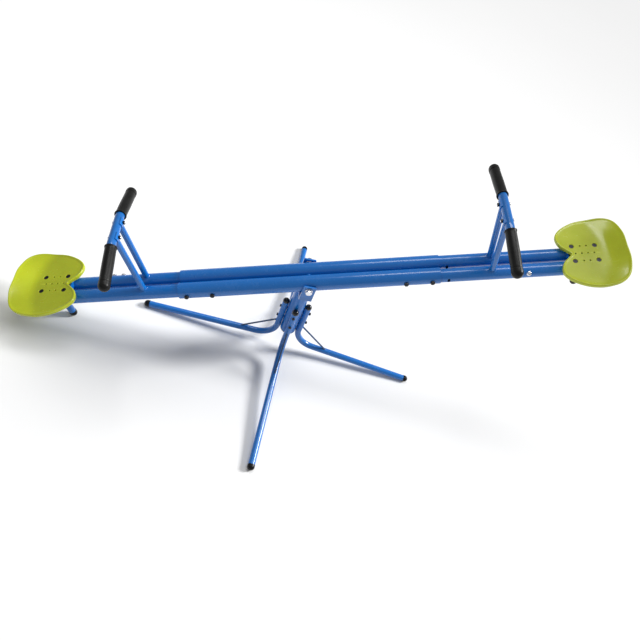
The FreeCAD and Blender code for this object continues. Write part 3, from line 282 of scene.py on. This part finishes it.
def new_object(name, data, at=(0, 0, 0), turn=(0, 0, 0)):
    made = bpy.data.objects.new(name, data)
    made.location = at
    made.rotation_euler = turn
    bpy.context.scene.collection.objects.link(made)
    return made


def finish_piece(piece, slot, body):
    """Gives a new piece the finish of a material slot and lets it ride on its body."""
    piece.data.materials.clear()
    piece.data.materials.append(FINISHES[slot])
    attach(piece, body)
    return piece


for node, made in frame["nodes"].items():
    for place in made.material_slots:
        place.material = FINISHES[SLOTS[node]]


# ---------------------------------------------------------------- sizes in millimetres, and frames

TILT = 21.4
BASE_YAW = 9.5
TUBE_SPACING = 51.1
TUBES_HALF_WIDTH = 50.55
JOINT_STATIONS = (379.0, 299.0)
JOINT_BOLT = 8.0
END_TUBE_RADIUS = 21.1
SLIP = 2.0
ROLL_SHARES = {"left": -0.33, "right": 0.94}
RIGHT_PULL = 50.0

POST_RADIUS = 27.0
LEG_RADIUS = 11.1
LEG_MIDDLE = POST_RADIUS + 0.4 + LEG_RADIUS
LEG_OUTSIDE = LEG_MIDDLE + LEG_RADIUS
LEG_TOP = 252.0
LEG_BOLT = 6.0
LEG_BOLT_HEIGHTS = ((222.0, 170.0), (236.0, 184.0))
LEG_CORNER_HEIGHT = 47.0
LEG_REACH = 487.0
FOOT_CENTRE_HEIGHT = 11.0
BRACE_RADIUS = 3.0
BRACE_TOP = 150.0
BRACE_REACH = 168.0
CAP_RADIUS = 12.0

PIVOT_BOLT = 12.0
EAR_OUTSIDE = 58.65
WASHER_OUTSIDE = 60.65
CLEVIS_DROP = 48.0
CLEVIS_HALF_WIDTH = 20.0

HANDLE_REACH = 511.6
HANDLE_POST_RADIUS = 9.5
BAR_X = 515.2
BAR_HEIGHT = 242.5
BAR_RADIUS = 12.7
BAR_BOLT = 6.0
BAR_BOLT_ACROSS = 29.0
SADDLE_RADIUS = 15.9
BAR_HALF_STRAIGHT = 45.0
BAR_BEND = 70.0
BAR_DROOP = math.radians(9.6)
BAR_REACH = 184.0
GRIP_RADIUS = 16.0
GRIP_LENGTH = 124.0

SIDE_SCREW_REACHES = (591.0, 620.0)
SIDE_SCREW_LIFT = math.radians(30.0)
SIDE_SCREW, SIDE_SCREW_LENGTH = 8.0, 16.0
RIVET_FLANGE, RIVET_LENGTH = 0.8, 13.0

SEAT_REACH = 789.0
SEAT_HEIGHT = 38.5
SEAT_FRONT, SEAT_BACK = 77.0, 113.4
SEAT_NOTCH, SEAT_HALF = 36.0, 124.0
SEAT_WALL, SEAT_SKIRT, SEAT_BRACKET = 4.5, 11.0, 3.0
SEAT_BACK_RISE, SEAT_SIDE_RISE = 34.3, 2.2
SEAT_FLAT_HALF = 40.5
SEAT_CREASE, SEAT_SWEEP, SEAT_SOFT, SEAT_FALL = 52.0, 36.6, 24.5, 1.8
SEAT_BOLT = 8.0
SEAT_BOLT_ALONG, SEAT_BOLT_ACROSS = 34.8, 27.4
SEAT_BOLT_HEAD = 7.0
DRAIN_RADIUS, DRAIN_PITCH = 2.5, 18.6

BUMPER_REACH = 797.0
BUMPER_RADIUS = 11.1
BUMPER_PLATE = 3.0
BUMPER_CAP_HEAD = 8.0

X, Y, Z = Vector((1, 0, 0)), Vector((0, 1, 0)), Vector((0, 0, 1))
PIVOT = Vector(next(joint["pos_m"] for joint in frame["record"]["behaviour"]["joints"]
                    if joint["name"] == "beam_tilt"))
MILLIMETRES = Matrix.Scale(MM, 4)


def turned(angle, axis):
    return Matrix.Rotation(math.radians(angle), 4, axis)


BASE = MILLIMETRES
HEAD = Matrix.Translation(PIVOT) @ MILLIMETRES
BEAM = HEAD @ turned(-TILT, "Y")
ROLLS = {end: math.degrees(math.asin(2 * SLIP * share / TUBE_SPACING)) for end, share in ROLL_SHARES.items()}
END_FRAMES = {
    "left": BEAM @ turned(ROLLS["left"], "X") @ turned(180, "Z"),
    "right": BEAM @ Matrix.Translation(X * RIGHT_PULL) @ turned(ROLLS["right"], "X"),
}
LEG_FRAMES = {name: BASE @ turned(90 * index - BASE_YAW, "Z") for index, name in enumerate(LEGS)}


def stand(at, direction):
    """The matrix that puts a shape's own Z on a direction, at a point."""
    return Matrix.Translation(Vector(at)) @ Vector(direction).to_track_quat("Z", "Y").to_matrix().to_4x4()


# ---------------------------------------------------------------- building a mesh

def hexagon(across_flats, angle):
    sixth = math.pi / 3
    return across_flats / 2 / math.cos((angle % sixth) - sixth / 2)


class Form:
    """The points and faces of a piece, gathered shape by shape in one frame."""

    def __init__(self, frame_matrix):
        self.frame = frame_matrix
        self.points = []
        self.faces = []

    def loops(self, rings, close=False, caps=True):
        """Skins a row of rings that have as many points each. close joins the last ring to the first."""
        start, count = len(self.points), len(rings[0])
        for ring in rings:
            self.points += [self.frame @ Vector(spot) for spot in ring]
        pairs = len(rings) if close else len(rings) - 1
        for row in range(pairs):
            low, high = start + row * count, start + (row + 1) % len(rings) * count
            for step in range(count):
                after = (step + 1) % count
                self.faces.append((low + step, low + after, high + after, high + step))
        if caps and not close:
            self.faces.append(tuple(start + step for step in reversed(range(count))))
            self.faces.append(tuple(start + (len(rings) - 1) * count + step for step in range(count)))

    def lathe(self, place, profile, steps=48, close=False):
        """Turns a profile of (radius, height) round the place's own Z. A third number makes that ring a
        hexagon of that size across its flats, no wider than the radius."""
        rings = []
        for radius, height, *flats in profile:
            ring = []
            for step in range(steps):
                angle = 2 * math.pi * step / steps
                reach = min(radius, hexagon(flats[0], angle)) if flats else radius
                ring.append(place @ Vector((reach * math.cos(angle), reach * math.sin(angle), height)))
            rings.append(ring)
        self.loops(rings, close)

    def bead(self, path, radius, closed=True):
        """A weld bead along a path, with the ripples that its puddles leave."""
        count, sides = len(path), 8
        rings = []
        for index, spot in enumerate(path):
            ahead = path[(index + 1) % count] if closed or index < count - 1 else spot
            behind = path[index - 1] if closed or index else spot
            along_path = (ahead - behind).normalized()
            across = along_path.orthogonal() if not rings else across - along_path * across.dot(along_path)
            across.normalize()
            up = along_path.cross(across)
            swell = radius * (1 + 0.16 * math.sin(index * 1.9) + 0.06 * math.sin(index * 0.7))
            rings.append([spot + (across * math.cos(turn) + up * math.sin(turn)) * swell
                          for turn in (2 * math.pi * side / sides for side in range(sides))])
        self.loops(rings, close=closed)

    def mesh(self, name):
        """The form's mesh, with its faces turned outwards."""
        mesh = bpy.data.meshes.new(name)
        mesh.from_pydata(self.points, [], self.faces)
        cleaner = bmesh.new()
        cleaner.from_mesh(mesh)
        bmesh.ops.recalc_face_normals(cleaner, faces=cleaner.faces)
        cleaner.to_mesh(mesh)
        cleaner.free()
        return mesh

    def piece(self, name, slot, body, *nodes, sharp=32):
        """Makes the object, which stands for the CAD nodes that it replaces."""
        made = new_object(name, self.mesh(name))
        smooth(made, sharp)
        finish_piece(made, slot, body)
        if nodes:
            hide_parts(*nodes)
        return made


def smooth(made, sharp):
    """Smooth shading that breaks at edges sharper than that angle."""
    made.data.polygons.foreach_set("use_smooth", [True] * len(made.data.polygons))
    made.data.set_sharp_from_angle(angle=math.radians(sharp))


def arc(middle_radius, middle_height, radius, first, last, steps):
    """Points of a profile on an arc, whose angles run from straight out (0) to straight up (90)."""
    turns = [math.radians(first + (last - first) * step / steps) for step in range(steps + 1)]
    return [(middle_radius + radius * math.cos(turn), middle_height + radius * math.sin(turn))
            for turn in turns]


def saddle_curve(start, heading, radius, axis_at, axis, tube_radius, steps=72):
    """Where a round bar that starts inside a tube comes out of the tube's surface."""
    heading, axis = Vector(heading).normalized(), Vector(axis).normalized()
    side = heading.orthogonal().normalized()
    other = heading.cross(side)
    flat_heading = heading - axis * heading.dot(axis)
    path = []
    for step in range(steps):
        turn = 2 * math.pi * step / steps
        spot = Vector(start) + (side * math.cos(turn) + other * math.sin(turn)) * radius
        offset = spot - Vector(axis_at)
        offset -= axis * offset.dot(axis)
        square = flat_heading.length_squared
        half = offset.dot(flat_heading)
        room = max(0.0, half * half - square * (offset.length_squared - tube_radius ** 2))
        path.append(spot + heading * ((-half + math.sqrt(room)) / square))
    return path


# ---------------------------------------------------------------- fasteners

def thread(diameter, start, end, pitch=1.0):
    """The profile of a threaded shank from start to end, with a pointed tip at its end."""
    profile = []
    turns = max(1, int((end - start) / pitch))
    step = (end - start) / turns
    for index in range(turns):
        low = start + index * step
        profile += [(diameter / 2 - 0.35 * pitch, low), (diameter / 2, low + 0.45 * step)]
    return profile + [(diameter / 2 - 0.35 * pitch, end), (diameter / 2 - 0.9 * pitch, end + 0.35 * pitch)]


def hex_nut(form, place, diameter):
    """A nut with chamfered corners and a countersunk bore, standing on the place's plane."""
    flats, height, bore = 1.6 * diameter, 0.8 * diameter, diameter / 2 + 0.05
    inside, corner = flats / 2, flats / math.sqrt(3)
    form.lathe(place, [(0.97 * inside, 0, flats), (corner, 0.1 * height, flats),
                       (corner, 0.86 * height, flats), (0.99 * inside, height, flats), (1.12 * bore, height),
                       (bore, 0.93 * height), (bore, 0.07 * height), (1.12 * bore, 0)], close=True)


def hex_head(form, place, diameter, length, thread_from):
    """A hexagon bolt whose head stands above the place's plane and whose shank goes down to its thread."""
    flats, height = 1.6 * diameter, 0.6 * diameter
    inside, corner = flats / 2, flats / math.sqrt(3)
    form.lathe(place, [(0.5 * inside, height - 0.5), (0.72 * inside, height - 0.4), (0.8 * inside, height),
                       (0.98 * inside, height, flats), (corner, 0.84 * height, flats),
                       (corner, 0.05 * height, flats), (0.96 * inside, 0, flats), (diameter / 2, 0),
                       (diameter / 2, -thread_from)]
               + [(radius, -down) for radius, down in thread(diameter, thread_from, length - 0.5)])


def button_head(form, place, diameter, length, thread_from):
    """A domed head with a hexagon socket above the place's plane, and its shank below."""
    radius, height, socket = 0.875 * diameter, 0.5 * diameter, 0.6 * diameter
    floor = 0.45 * height
    form.lathe(place, [(0.4 * socket, floor - 0.3, socket), (socket, floor, socket),
                       (socket, 0.96 * height, socket), (0.66 * socket, height), (0.55 * radius, height),
                       (0.74 * radius, 0.86 * height), (0.89 * radius, 0.62 * height),
                       (0.98 * radius, 0.32 * height), (radius, 0.12 * height), (0.97 * radius, 0),
                       (diameter / 2, 0), (diameter / 2, -thread_from)]
               + [(reach, -down) for reach, down in thread(diameter, thread_from, length - 0.5)])


def joint_fasteners():
    bolts, nuts = Form(BEAM), Form(BEAM)
    for end in (-1, 1):
        for station in JOINT_STATIONS:
            head = (end * station, TUBES_HALF_WIDTH, 0)
            button_head(bolts, stand(head, Y), JOINT_BOLT, 2 * TUBES_HALF_WIDTH + JOINT_BOLT,
                        2 * TUBES_HALF_WIDTH - JOINT_BOLT)
            hex_nut(nuts, stand((end * station, -TUBES_HALF_WIDTH, 0), -Y), JOINT_BOLT)
    bolts.piece("joint_bolts_threaded", "dark_steel", "beam", "joint_bolts")
    nuts.piece("joint_nuts_chamfered", "dark_steel", "beam", "joint_nuts")


def leg_fasteners():
    bolts, nuts = [], []
    for index, name in enumerate(LEGS[:2]):
        bolt_form, nut_form = Form(LEG_FRAMES[name]), Form(LEG_FRAMES[name])
        for height in LEG_BOLT_HEIGHTS[index]:
            hex_head(bolt_form, stand((-LEG_OUTSIDE, 0, height), -X), LEG_BOLT, 2 * LEG_OUTSIDE + LEG_BOLT,
                     2 * LEG_OUTSIDE - LEG_BOLT)
            hex_nut(nut_form, stand((LEG_OUTSIDE, 0, height), X), LEG_BOLT)
        bolts.append(bolt_form)
        nuts.append(nut_form)
    joined(bolts).piece("leg_bolts_threaded", "dark_steel", "base", "leg_bolts")
    joined(nuts).piece("leg_nuts_chamfered", "dark_steel", "base", "leg_nuts")


def joined(forms):
    """One form that holds the shapes of several, each already in its own frame."""
    whole = Form(Matrix.Identity(4))
    for form in forms:
        first = len(whole.points)
        whole.points += form.points
        whole.faces += [tuple(first + corner for corner in face) for face in form.faces]
    return whole


def pivot_fasteners():
    bolt, nut, washers = Form(HEAD), Form(HEAD), Form(HEAD)
    hex_head(bolt, stand((0, -WASHER_OUTSIDE, 0), -Y), PIVOT_BOLT, 2 * WASHER_OUTSIDE + PIVOT_BOLT,
             2 * WASHER_OUTSIDE - PIVOT_BOLT)
    hex_nut(nut, stand((0, WASHER_OUTSIDE, 0), Y), PIVOT_BOLT)
    bore, rim, thickness = PIVOT_BOLT / 2 + 0.05, PIVOT_BOLT, WASHER_OUTSIDE - EAR_OUTSIDE
    for side in (-1, 1):
        washers.lathe(stand((0, side * EAR_OUTSIDE, 0), Y * side),
                      [(bore, 0), (rim - 0.2, 0), (rim, 0.3), (rim, thickness - 0.4), (rim - 0.4, thickness),
                       (bore, thickness)], close=True)
    bolt.piece("pivot_bolt_threaded", "bright_steel", "swivel_head", "pivot_bolt")
    nut.piece("pivot_nut_chamfered", "bright_steel", "swivel_head", "pivot_nut")
    washers.piece("pivot_washers_pressed", "bright_steel", "swivel_head", "pivot_washers")


def end_frame_fasteners():
    """The handlebar's bolts and nuts, the side screws in their rivet nuts, and the seat's bolts and nuts."""
    forms = {name: [] for name in ("bar_bolts", "bar_nuts", "screws", "rivets", "seat_bolts", "seat_nuts")}
    for end in ENDS:
        made = {name: Form(END_FRAMES[end]) for name in forms}
        for side in (-1, 1):
            across = side * BAR_BOLT_ACROSS
            button_head(made["bar_bolts"], stand((BAR_X + BAR_RADIUS - 0.3, across, BAR_HEIGHT), X), BAR_BOLT,
                        BAR_RADIUS + SADDLE_RADIUS + BAR_BOLT, BAR_RADIUS + SADDLE_RADIUS - BAR_BOLT)
            hex_nut(made["bar_nuts"], stand((BAR_X - SADDLE_RADIUS, across, BAR_HEIGHT), -X), BAR_BOLT)
        out = Vector((0, -math.cos(SIDE_SCREW_LIFT), math.sin(SIDE_SCREW_LIFT)))
        for reach in SIDE_SCREW_REACHES:
            seat = Vector((reach, -TUBE_SPACING / 2, 0)) + out * END_TUBE_RADIUS
            under_head = stand(seat + out * RIVET_FLANGE, out)
            button_head(made["screws"], under_head, SIDE_SCREW, SIDE_SCREW_LENGTH, 2.0)
            made["rivets"].lathe(stand(seat, out), [(5.5, -RIVET_LENGTH), (5.5, -1.2), (7.5, -0.9), (7.6, 0.2),
                                                    (7.2, RIVET_FLANGE), (4.05, RIVET_FLANGE),
                                                    (4.05, -RIVET_LENGTH)], close=True)
        for x in (-SEAT_BOLT_ALONG, SEAT_BOLT_ALONG):
            for y in (-SEAT_BOLT_ACROSS, SEAT_BOLT_ACROSS):
                seat_bolt(made["seat_bolts"], (SEAT_REACH + x, y, SEAT_HEIGHT))
                below = (SEAT_REACH + x, y, SEAT_HEIGHT - SEAT_WALL - SEAT_BRACKET)
                hex_nut(made["seat_nuts"], stand(below, -Z), SEAT_BOLT)
        for name, form in made.items():
            forms[name].append(form)
    joined(forms["bar_bolts"]).piece("handlebar_bolts_threaded", "bright_steel", "beam", "handlebar_bolts")
    joined(forms["bar_nuts"]).piece("handlebar_nuts_chamfered", "dark_steel", "beam", "handlebar_nuts")
    joined(forms["screws"]).piece("side_screws_threaded", "bright_steel", "beam", "side_screws")
    joined(forms["rivets"]).piece("rivet_nuts_flanged", "bright_steel", "beam", "rivet_nuts")
    joined(forms["seat_bolts"]).piece("seat_bolts_sunk", "dark_steel", "beam", "seat_bolts")
    joined(forms["seat_nuts"]).piece("seat_nuts_chamfered", "dark_steel", "beam", "seat_nuts")


def seat_bolt(form, at):
    """A flat-headed bolt sunk in its counterbore, with a deep socket."""
    socket, radius, shank = 0.6 * SEAT_BOLT, SEAT_BOLT_HEAD, SEAT_BOLT / 2
    form.lathe(stand(at, Z), [(0.4 * socket, -2.0, socket), (socket, -1.9, socket), (socket, -0.9, socket),
                              (0.8 * radius, -0.7), (0.95 * radius, -0.9), (radius, -1.3), (radius, -2.4),
                              (shank, -2.4)]
               + [(reach, -down) for reach, down in thread(SEAT_BOLT, 8.0, 14.0)])


# ---------------------------------------------------------------- caps and grips

def domed_cap(form, place, radius, head, plug_radius, plug_depth=11.0):
    """A ribbed plug, a lip with a small radius and a round head with a parting line."""
    ribs = []
    for rib in range(3):
        low = -plug_depth + 2.0 + rib * 3.0
        ribs += [(plug_radius - 0.5, low), (plug_radius, low + 0.7), (plug_radius - 0.5, low + 1.4)]
    seam = [(radius, head - 0.35), (radius - 0.18, head - 0.1), (radius, head + 0.15)]
    dome = [(reach, max(height, head + 0.3)) for reach, height in arc(0, head, radius, 4, 88, 14)]
    form.lathe(place, [(plug_radius - 1.5, -plug_depth)] + ribs
               + [(plug_radius - 0.5, -0.1), (radius - 0.5, 0.0), (radius, 0.5)] + seam + dome)


def leg_caps():
    forms = []
    for name in LEGS:
        form = Form(LEG_FRAMES[name])
        domed_cap(form, stand((LEG_MIDDLE, 0, LEG_TOP), Z), CAP_RADIUS - 0.55, 2.0, LEG_RADIUS - 1.7)
        forms.append(form)
    joined(forms).piece("leg_top_caps_domed", "black_plastic", "base", "leg_top_caps")


def bumper_caps():
    for end in ENDS:
        low = PIVOT.z / MM - CAP_RADIUS - BUMPER_REACH * math.sin(math.radians(TILT))
        depth = low / math.cos(math.radians(TILT)) / math.cos(math.radians(ROLLS["left"]))
        form = Form(END_FRAMES[end])
        domed_cap(form, stand((BUMPER_REACH, 0, -depth + BUMPER_CAP_HEAD), -Z), CAP_RADIUS, BUMPER_CAP_HEAD,
                  BUMPER_RADIUS - 2.1)
        form.piece(f"bumper_cap_{end}_domed", "black_rubber", "beam", f"bumper_cap_{end}")


def grips():
    """Rubber grips: a collar, a long sleeve that swells a little, a groove and a round end."""
    past_bend = BAR_REACH - BAR_HALF_STRAIGHT - BAR_BEND * math.sin(BAR_DROOP)
    drop = BAR_BEND * (1 - math.cos(BAR_DROOP)) + past_bend * math.tan(BAR_DROOP)
    sleeve = []
    for step in range(25):
        share = step / 24
        sleeve.append((GRIP_RADIUS - 0.55 + 0.4 * math.sin(math.pi * share) ** 2, 5.2 + share * 106.0))
    profile = [(BAR_RADIUS + 0.15, 0.2), (16.1, 0.0), (16.8, 0.5), (17.0, 1.2), (17.0, 3.0), (16.7, 3.8),
               (15.6, 4.4)] + sleeve
    profile += [(15.3, 112.4), (14.7, 112.8), (14.7, 114.0), (15.3, 114.4), (GRIP_RADIUS, 115.2)]
    profile += [(GRIP_RADIUS, GRIP_LENGTH)] + arc(0, GRIP_LENGTH, GRIP_RADIUS, 6, 88, 14)
    profile += [(0.3, GRIP_LENGTH + 12.0), (BAR_RADIUS, GRIP_LENGTH + 1.0), (BAR_RADIUS + 0.1, GRIP_LENGTH)]
    for end in ENDS:
        for side in (-1, 1):
            world_side = side if end == "right" else -side
            name = f"grip_{end}_{'far' if world_side > 0 else 'near'}"
            direction = Vector((0, side * math.cos(BAR_DROOP), -math.sin(BAR_DROOP)))
            tip = Vector((BAR_X, side * BAR_REACH, BAR_HEIGHT - drop))
            form = Form(END_FRAMES[end])
            form.lathe(stand(tip - direction * GRIP_LENGTH, direction), profile, steps=64, close=True)
            form.piece(f"{name}_sleeve", "black_grip", "beam", name)


# ---------------------------------------------------------------- seats

def closed_curve(spots, per_span):
    """A smooth closed curve through its points."""
    curve = []
    count = len(spots)
    for index in range(count):
        before, here, after, later = (Vector(spots[(index + offset) % count]) for offset in (-1, 0, 1, 2))
        for step in range(per_span):
            share = step / per_span
            curve.append(0.5 * (2 * here + (after - before) * share
                                + (2 * before - 5 * here + 4 * after - later) * share ** 2
                                + (3 * here - before - 3 * after + later) * share ** 3))
    return curve


def seat_outline():
    """The seat's outline, from the notch round one lobe, the back and the other lobe."""
    front, back, notch, half = SEAT_FRONT, SEAT_BACK, SEAT_NOTCH, SEAT_HALF
    one_side = [(-front + notch, 0), (-front + 0.7 * notch, 0.1 * half),
                (-front + 0.25 * notch, 0.235 * half), (-front, 0.425 * half), (-0.96 * front, 0.61 * half),
                (-0.66 * front, 0.8 * half), (-0.13 * front, 0.954 * half), (0.347 * back, half),
                (0.69 * back, 0.952 * half), (0.913 * back, 0.771 * half), (1.008 * back, 0.415 * half),
                (back, 0)]
    whole = one_side + [(x, -y) for x, y in reversed(one_side[1:-1])]
    return closed_curve([(x, y, 0) for x, y in whole], 6)


def seat_rise(x, y):
    """Height of the seat's upper surface over its flat pan."""
    side = max(0.0, (abs(y) - SEAT_FLAT_HALF) / (SEAT_HALF - SEAT_FLAT_HALF))
    outward = (y / SEAT_HALF) ** 2
    run = max(0.0, x - SEAT_CREASE + SEAT_SWEEP * outward)
    ramp = run * run / (2 * SEAT_SOFT) if run < SEAT_SOFT else run - SEAT_SOFT / 2
    full_ramp = SEAT_BACK - SEAT_CREASE - SEAT_SOFT / 2
    steepness = SEAT_BACK_RISE / full_ramp / (1 + SEAT_FALL * outward)
    return SEAT_SIDE_RISE * side ** 2 + steepness * ramp


# Distances out from the seat's middle at which its pan has a ring of points, as shares of the outline.
SEAT_SHARES = (0.03, 0.12, 0.24, 0.36, 0.48, 0.58, 0.68, 0.77, 0.85, 0.92, 0.97)

# The seat's rim in section, from its upper face over the rolled lip and down the skirt to its inner face:
# (distance in from the outline, height over the upper face).
RIM = ((9.0, 0.0), (7.2, 0.15), (5.8, 0.55), (4.4, 0.95), (3.1, 1.05), (1.9, 0.75), (0.9, 0.05),
       (0.25, -1.1), (0.0, -2.6), (0.1, -6.0), (0.35, 1.6 - SEAT_SKIRT), (0.8, 0.5 - SEAT_SKIRT),
       (1.6, -SEAT_SKIRT), (2.6, 0.2 - SEAT_SKIRT), (3.2, 1.0 - SEAT_SKIRT), (3.6, -7.5), (4.1, -5.6),
       (5.2, -4.7), (7.2, -SEAT_WALL))


def seat_shell(end):
    outline = seat_outline()
    count = len(outline)
    inward = []
    for index in range(count):
        along_rim = outline[(index + 1) % count] - outline[index - 1]
        inward.append(Z.cross(along_rim).normalized())
    if inward[0].x < 0:
        inward = [-each for each in inward]
    if (outline[0] + inward[0]).length > outline[0].length:
        inward = [-each for each in inward]

    def ring(share, inset, above):
        spots = []
        for spot, normal in zip(outline, inward):
            flat = (spot + normal * inset) * share
            spots.append(flat + Z * (seat_rise(flat.x, flat.y) + above))
        return spots

    rings = [ring(share, RIM[0][0], 0) for share in SEAT_SHARES]
    rings += [ring(1, inset, above) for inset, above in RIM]
    rings += [ring(share, RIM[-1][0], -SEAT_WALL) for share in reversed(SEAT_SHARES)]
    form = Form(END_FRAMES[end] @ Matrix.Translation((SEAT_REACH, 0, SEAT_HEIGHT)))
    form.loops(rings)
    shell = form.piece(f"seat_{end}_shell", "lime_plastic", "beam", f"seat_{end}", sharp=40)
    drill(shell, seat_drills(form.frame))
    return shell


def seat_drills(place):
    """Round tools for the counterbored bolt holes and the drain holes, with a small chamfer on each."""
    tools = Form(place)
    shank, head = SEAT_BOLT / 2 + 0.3, SEAT_BOLT_HEAD + 0.3
    for x in (-SEAT_BOLT_ALONG, SEAT_BOLT_ALONG):
        for y in (-SEAT_BOLT_ACROSS, SEAT_BOLT_ACROSS):
            tools.lathe(Matrix.Translation((x, y, 0)),
                        [(shank, -9.0), (shank, -2.4), (head, -2.4), (head, -0.7), (head + 0.8, 0.1),
                         (head + 0.9, 4.0)], 40)
    drains = [(x, y) for x in (-DRAIN_PITCH / 2, DRAIN_PITCH / 2)
              for y in (-SEAT_BOLT_ACROSS, 0, SEAT_BOLT_ACROSS)]
    drains += [(-1.5 * DRAIN_PITCH, 0), (1.5 * DRAIN_PITCH, 0)]
    for x, y in drains:
        tools.lathe(Matrix.Translation((x, y, 0)),
                    [(DRAIN_RADIUS, -9.0), (DRAIN_RADIUS, -0.5), (DRAIN_RADIUS + 0.6, 0.1),
                     (DRAIN_RADIUS + 0.7, 4.0)], 24)
    return tools


def drill(made, tools):
    """Takes the tools' shapes out of a piece."""
    tool = new_object("drills", tools.mesh("drills"))
    modifier = made.modifiers.new("drill", "BOOLEAN")
    modifier.object = tool
    modifier.operation = "DIFFERENCE"
    modifier.solver = "EXACT"
    evaluated = made.evaluated_get(bpy.context.evaluated_depsgraph_get())
    drilled = bpy.data.meshes.new_from_object(evaluated)
    made.modifiers.clear()
    made.data = drilled
    bpy.data.objects.remove(tool)
    smooth(made, 30)


# ---------------------------------------------------------------- weld beads

def leg_welds():
    """Beads where each brace rod meets the two straight parts of its leg."""
    slope = math.atan((LEG_CORNER_HEIGHT - FOOT_CENTRE_HEIGHT) / (LEG_REACH - LEG_MIDDLE))
    sloping = Vector((math.cos(slope), 0, -math.sin(slope)))
    corner = Vector((LEG_MIDDLE, 0, LEG_CORNER_HEIGHT))
    top = Vector((LEG_MIDDLE, 0, BRACE_TOP))
    foot = corner + sloping * ((BRACE_REACH - LEG_MIDDLE) / math.cos(slope))
    for name in LEGS:
        form = Form(LEG_FRAMES[name])
        form.bead(saddle_curve(top, foot - top, BRACE_RADIUS + 0.3, top, Z, LEG_RADIUS, 40), 1.0)
        form.bead(saddle_curve(foot, top - foot, BRACE_RADIUS + 0.3, corner, sloping, LEG_RADIUS, 40), 1.0)
        form.piece(f"brace_{name}_welds", "blue_paint", "base", sharp=80)


def end_frame_welds():
    """Beads round the feet and heads of the handle posts, and round the bumper tube under its plate."""
    for end in ENDS:
        form = Form(END_FRAMES[end])
        for side in (-1, 1):
            foot = Vector((HANDLE_REACH, side * TUBE_SPACING / 2, 0))
            head = Vector((HANDLE_REACH, side * BAR_BOLT_ACROSS, BAR_HEIGHT))
            bar = Vector((BAR_X, 0, BAR_HEIGHT))
            lower = saddle_curve(foot, head - foot, HANDLE_POST_RADIUS + 0.4, foot, X, END_TUBE_RADIUS, 96)
            upper = saddle_curve(head, foot - head, HANDLE_POST_RADIUS + 0.1, bar, Y, SADDLE_RADIUS, 80)
            form.bead(lower, 1.7)
            form.bead(upper, 1.2)
        under_plate = -END_TUBE_RADIUS - BUMPER_PLATE
        bead_reach = BUMPER_RADIUS + 0.5
        turns = [2 * math.pi * step / 90 for step in range(90)]
        ring = [Vector((BUMPER_REACH + bead_reach * math.cos(turn), bead_reach * math.sin(turn), under_plate))
                for turn in turns]
        form.bead(ring, 1.5)
        form.piece(f"end_frame_{end}_welds", "blue_paint", "beam", sharp=80)


def clevis_welds():
    """Two beads that hold the hub disc under the clevis plate."""
    half_length = math.sqrt(POST_RADIUS ** 2 - CLEVIS_HALF_WIDTH ** 2) - 2.0
    form = Form(HEAD)
    for side in (-1, 1):
        line = [Vector((side * (CLEVIS_HALF_WIDTH + 0.4), -half_length + 2 * half_length * step / 36,
                        -CLEVIS_DROP + 0.4)) for step in range(37)]
        form.bead(line, 1.5, closed=False)
    form.piece("clevis_hub_welds", "blue_paint", "swivel_head", sharp=80)


joint_fasteners()
leg_fasteners()
pivot_fasteners()
end_frame_fasteners()
leg_caps()
bumper_caps()
grips()
for end_name in ENDS:
    seat_shell(end_name)
leg_welds()
end_frame_welds()
clevis_welds()


# ---------------------------------------------------------------- stage, light and camera

FLOOR_WIDTH = 40.0
WORLD_STRENGTH = 0.34

def studio_floor():
    mesh = bpy.data.meshes.new("floor")
    half = FLOOR_WIDTH / 2
    corners = [(-half, -half, 0), (half, -half, 0), (half, half, 0), (-half, half, 0)]
    mesh.from_pydata(corners, [], [(0, 1, 2, 3)])
    floor = new_object("floor", mesh)
    finish = Finish("pale_floor_paint")
    clouds = finish.noise(0.8, 3.0)
    tint = finish.mix(clouds, (0.88, 0.88, 0.88, 1.0), (0.91, 0.91, 0.91, 1.0))
    floor.data.materials.append(finish.use(Base_Color=tint, Roughness=0.8 + clouds * 0.1))


def facing(direction):
    """The turn that points a light along a direction."""
    return Vector(direction).to_track_quat("-Z", "Y").to_euler()


def area_light(name, at, towards, size, power):
    light = bpy.data.lights.new(name, "AREA")
    light.shape = "RECTANGLE"
    light.size, light.size_y = size
    light.energy = power
    new_object(name, light, at, facing(Vector(towards) - Vector(at)))


def sun_light(name, direction, size, strength):
    """Light that falls evenly from far away. size is how wide it looks, in degrees."""
    light = bpy.data.lights.new(name, "SUN")
    light.angle = math.radians(size)
    light.energy = strength
    new_object(name, light, turn=facing(direction))


def studio_camera():
    """A high three-quarter view, with the camera rolled so that the sloping beam lies nearly level."""
    lens = bpy.data.cameras.new("camera")
    lens.sensor_width = 36.0
    lens.lens = 31.4
    lens.shift_x = -0.0415
    lens.shift_y = 0.0223
    turn = [math.radians(angle) for angle in (34.305, -18.111, -1.732)]
    bpy.context.scene.camera = new_object("camera", lens, (-0.3381, -1.1194, 1.7088), turn)


def studio_world():
    world = bpy.data.worlds.new("studio")
    world.use_nodes = True
    back = world.node_tree.nodes["Background"]
    back.inputs["Color"].default_value = (1.0, 1.0, 1.0, 1.0)
    back.inputs["Strength"].default_value = WORLD_STRENGTH
    bpy.context.scene.world = world


studio_floor()
studio_world()
sun_light("key_light", direction=(-0.9, -0.2, -0.6), size=16.0, strength=3.6)
area_light("top_light", at=(0.2, 0.9, 3.2), towards=(0, 0, 0.4), size=(2.4, 0.7), power=36.0)
studio_camera()
bpy.context.scene.view_settings.view_transform = "Standard"
